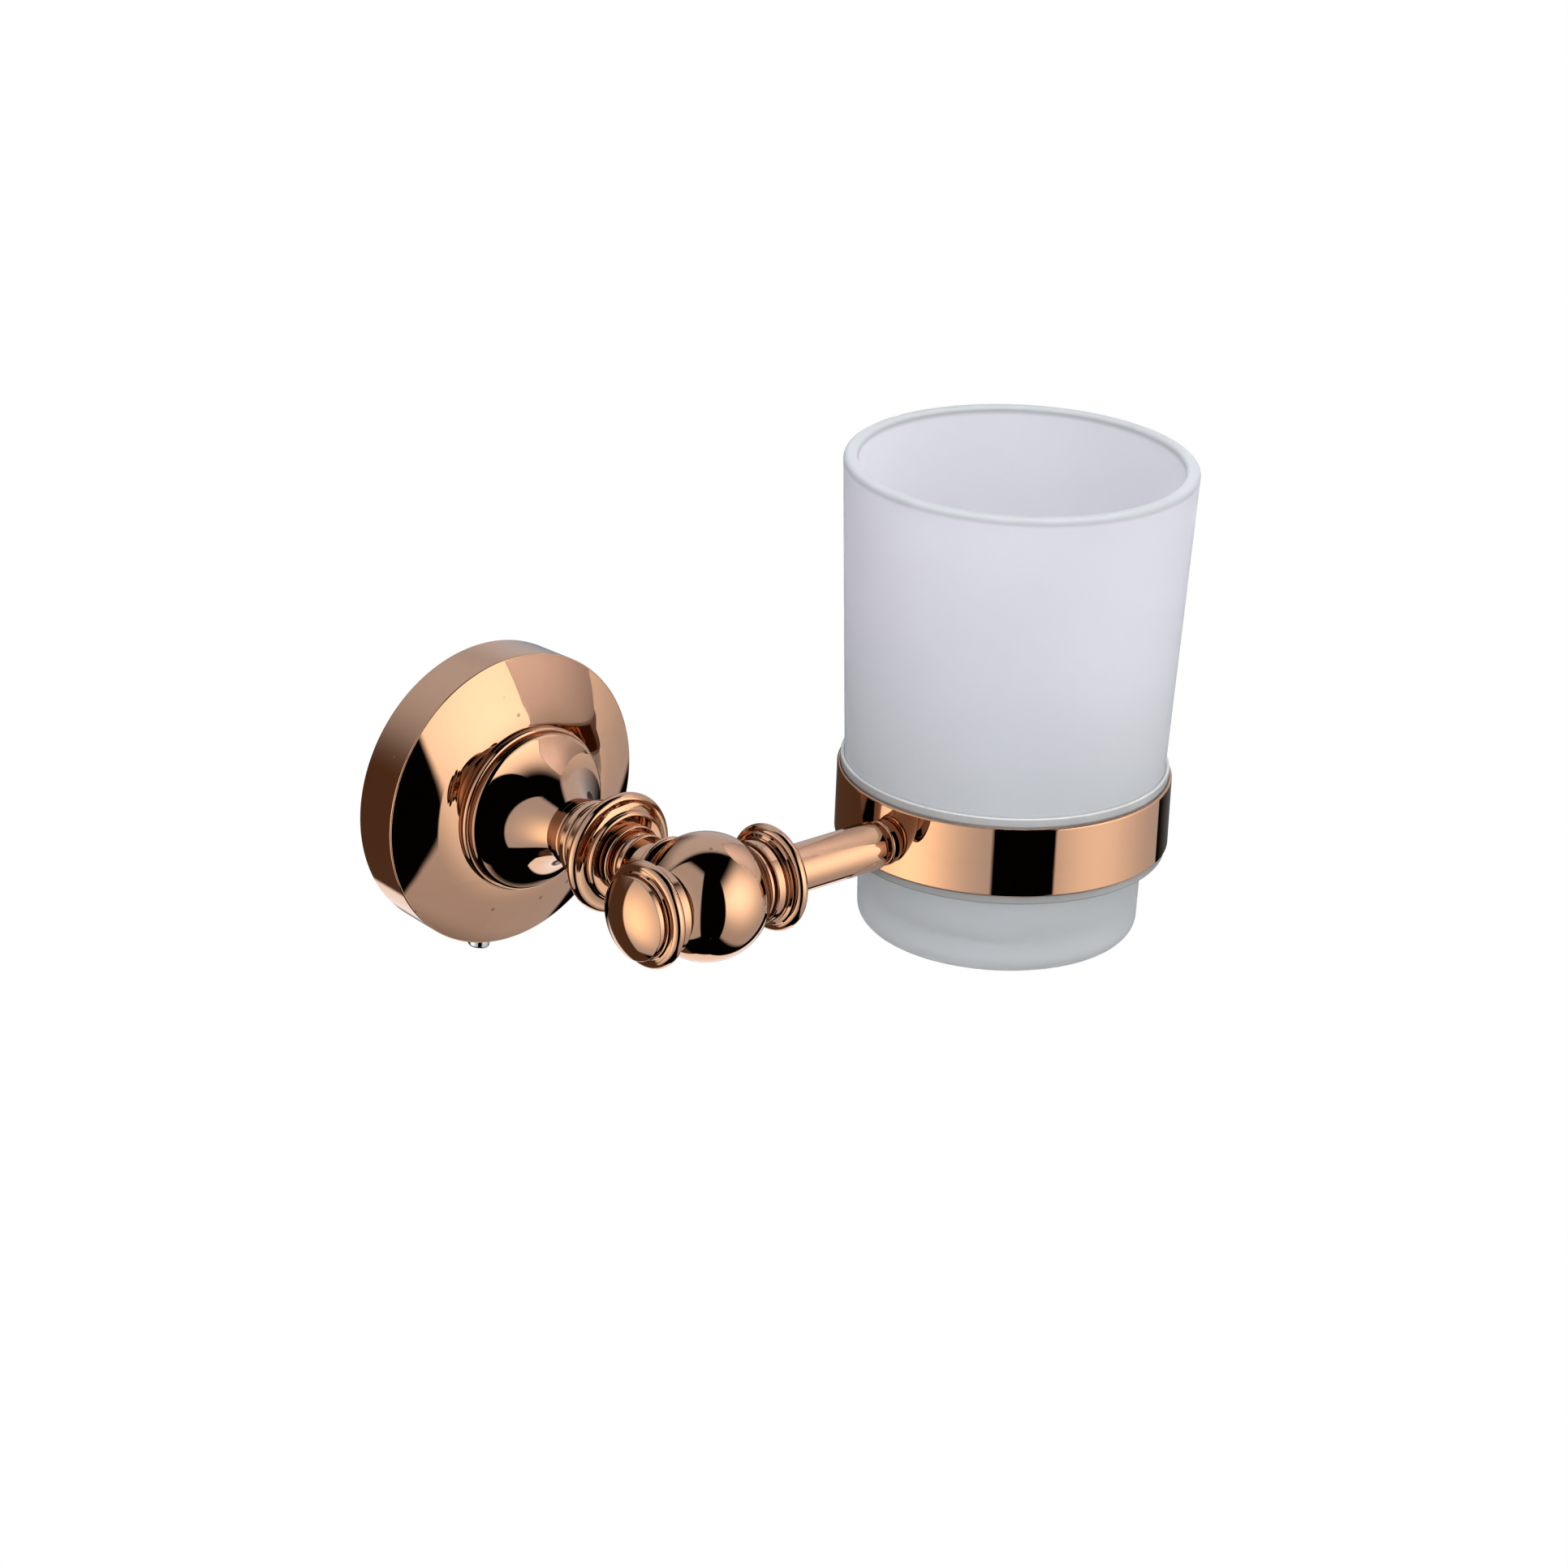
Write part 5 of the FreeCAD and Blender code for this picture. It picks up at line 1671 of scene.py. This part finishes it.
    @staticmethod
    def paint(desk: NodeDesk, where: bpy.types.NodeSocket, panel: LightPanel) -> tuple:
        """One panel's mask and hot spot over all directions.

        Args:
            desk: where the world's nodes are built.
            where: the direction looked in.
            panel: the panel.

        Returns:
            The mask socket and the hot spot's socket.
        """
        facing = desk.add("ShaderNodeVectorRotate", {"Vector": where, "Angle": math.radians(panel.azimuth)},
                          rotation_type="Z_AXIS")
        parts = desk.add("ShaderNodeSeparateXYZ", {"Vector": facing.outputs["Vector"]})
        ahead = desk.sum("MULTIPLY", parts.outputs["Y"], -1.0)
        aside = desk.sum("MULTIPLY", parts.outputs["X"], -1.0)
        azimuth = desk.sum("DEGREES", desk.sum("ARCTAN2", aside, ahead))
        rise = desk.sum("DIVIDE", parts.outputs["Z"], desk.sum("MAXIMUM", ahead, 0.02))
        inside = desk.ease(desk.sum("ABSOLUTE", azimuth), panel.half_width - panel.edge,
                           panel.half_width + panel.edge, 1.0, 0.0)
        above = desk.ease(rise, panel.low - panel.low_edge, panel.low + panel.low_edge)
        below = desk.ease(rise, panel.high - panel.high_edge, panel.high + panel.high_edge, 1.0, 0.0)
        mask = desk.sum("MULTIPLY", inside, desk.sum("MULTIPLY", above, below))
        across = desk.sum("DIVIDE", desk.sum("SUBTRACT", azimuth, panel.hot_azimuth), panel.hot_width)
        upward = desk.sum("DIVIDE", desk.sum("SUBTRACT", rise, panel.hot_rise), panel.hot_height)
        far = desk.sum("ADD", desk.sum("MULTIPLY", across, across), desk.sum("MULTIPLY", upward, upward))
        return mask, desk.sum("EXPONENT", desk.sum("MULTIPLY", far, -1.0))

    def build_lamps(self) -> None:
        """Soft lamps for the glass alone: the metal doesn't mirror them."""
        for lamp in self.lamps:
            light = bpy.data.lights.new(lamp.name, "AREA")
            light.shape = "SQUARE"
            light.size = lamp.size * MM
            light.energy = lamp.power
            item = bpy.data.objects.new(lamp.name, light)
            item.location = Vector(lamp.place) * MM
            aim = ring_centre() * MM - item.location
            item.rotation_mode = "QUATERNION"
            item.rotation_quaternion = aim.to_track_quat("-Z", "Y")
            item.visible_glossy = False
            item.visible_camera = False
            bpy.context.scene.collection.objects.link(item)

    def build_floor(self) -> None:
        """A plain pale floor, bright to look at and clear from beneath, that lights the holder a little."""
        half, height = self.floor_half * MM, self.floor_height * MM
        mesh = bpy.data.meshes.new("floor")
        square = ((-half, -half), (half, -half), (half, half), (-half, half))
        mesh.from_pydata([(*corner, height) for corner in square], [], [(0, 1, 2, 3)])
        floor = new_object("floor", mesh)
        material, desk, shader = new_material("PaleFloor")
        path = desk.add("ShaderNodeLightPath")
        share = desk.sum("MULTIPLY_ADD", path.outputs["Is Camera Ray"], 1.0 - self.floor_light,
                         self.floor_light)
        behind = desk.add("ShaderNodeNewGeometry").outputs["Backfacing"]
        desk.link({"Emission Strength": share, "Alpha": desk.sum("SUBTRACT", 1.0, behind)}, shader)
        shader.inputs["Base Color"].default_value = (0.0, 0.0, 0.0, 1.0)
        shader.inputs["Roughness"].default_value = 0.9
        shader.inputs["Specular IOR Level"].default_value = 0.0
        shader.inputs["Emission Color"].default_value = (1.0, 1.0, 1.0, 1.0)
        mesh.materials.append(material)
        floor.visible_glossy = False
        floor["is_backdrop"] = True


# -------------------------------------------------------------------------------------------- main


def corners() -> list[list[float]]:
    """The shown object's lowest and highest corner as plain lists."""
    return [list(corner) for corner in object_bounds()]


def main() -> None:
    """Build the studio and every sub-assembly."""
    logging.basicConfig(level=logging.INFO, format="%(message)s")
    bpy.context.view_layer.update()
    Studio().build()
    finishes = Finishes()
    finishes.build()
    for kind in (WallFixing, FlangeCover, PostTurnings, PostFixing, Ball, Finial, Arm, RingAndLiner,
                 Tumbler):
        kind(finishes).build()


if __name__ == "__main__":
    main()
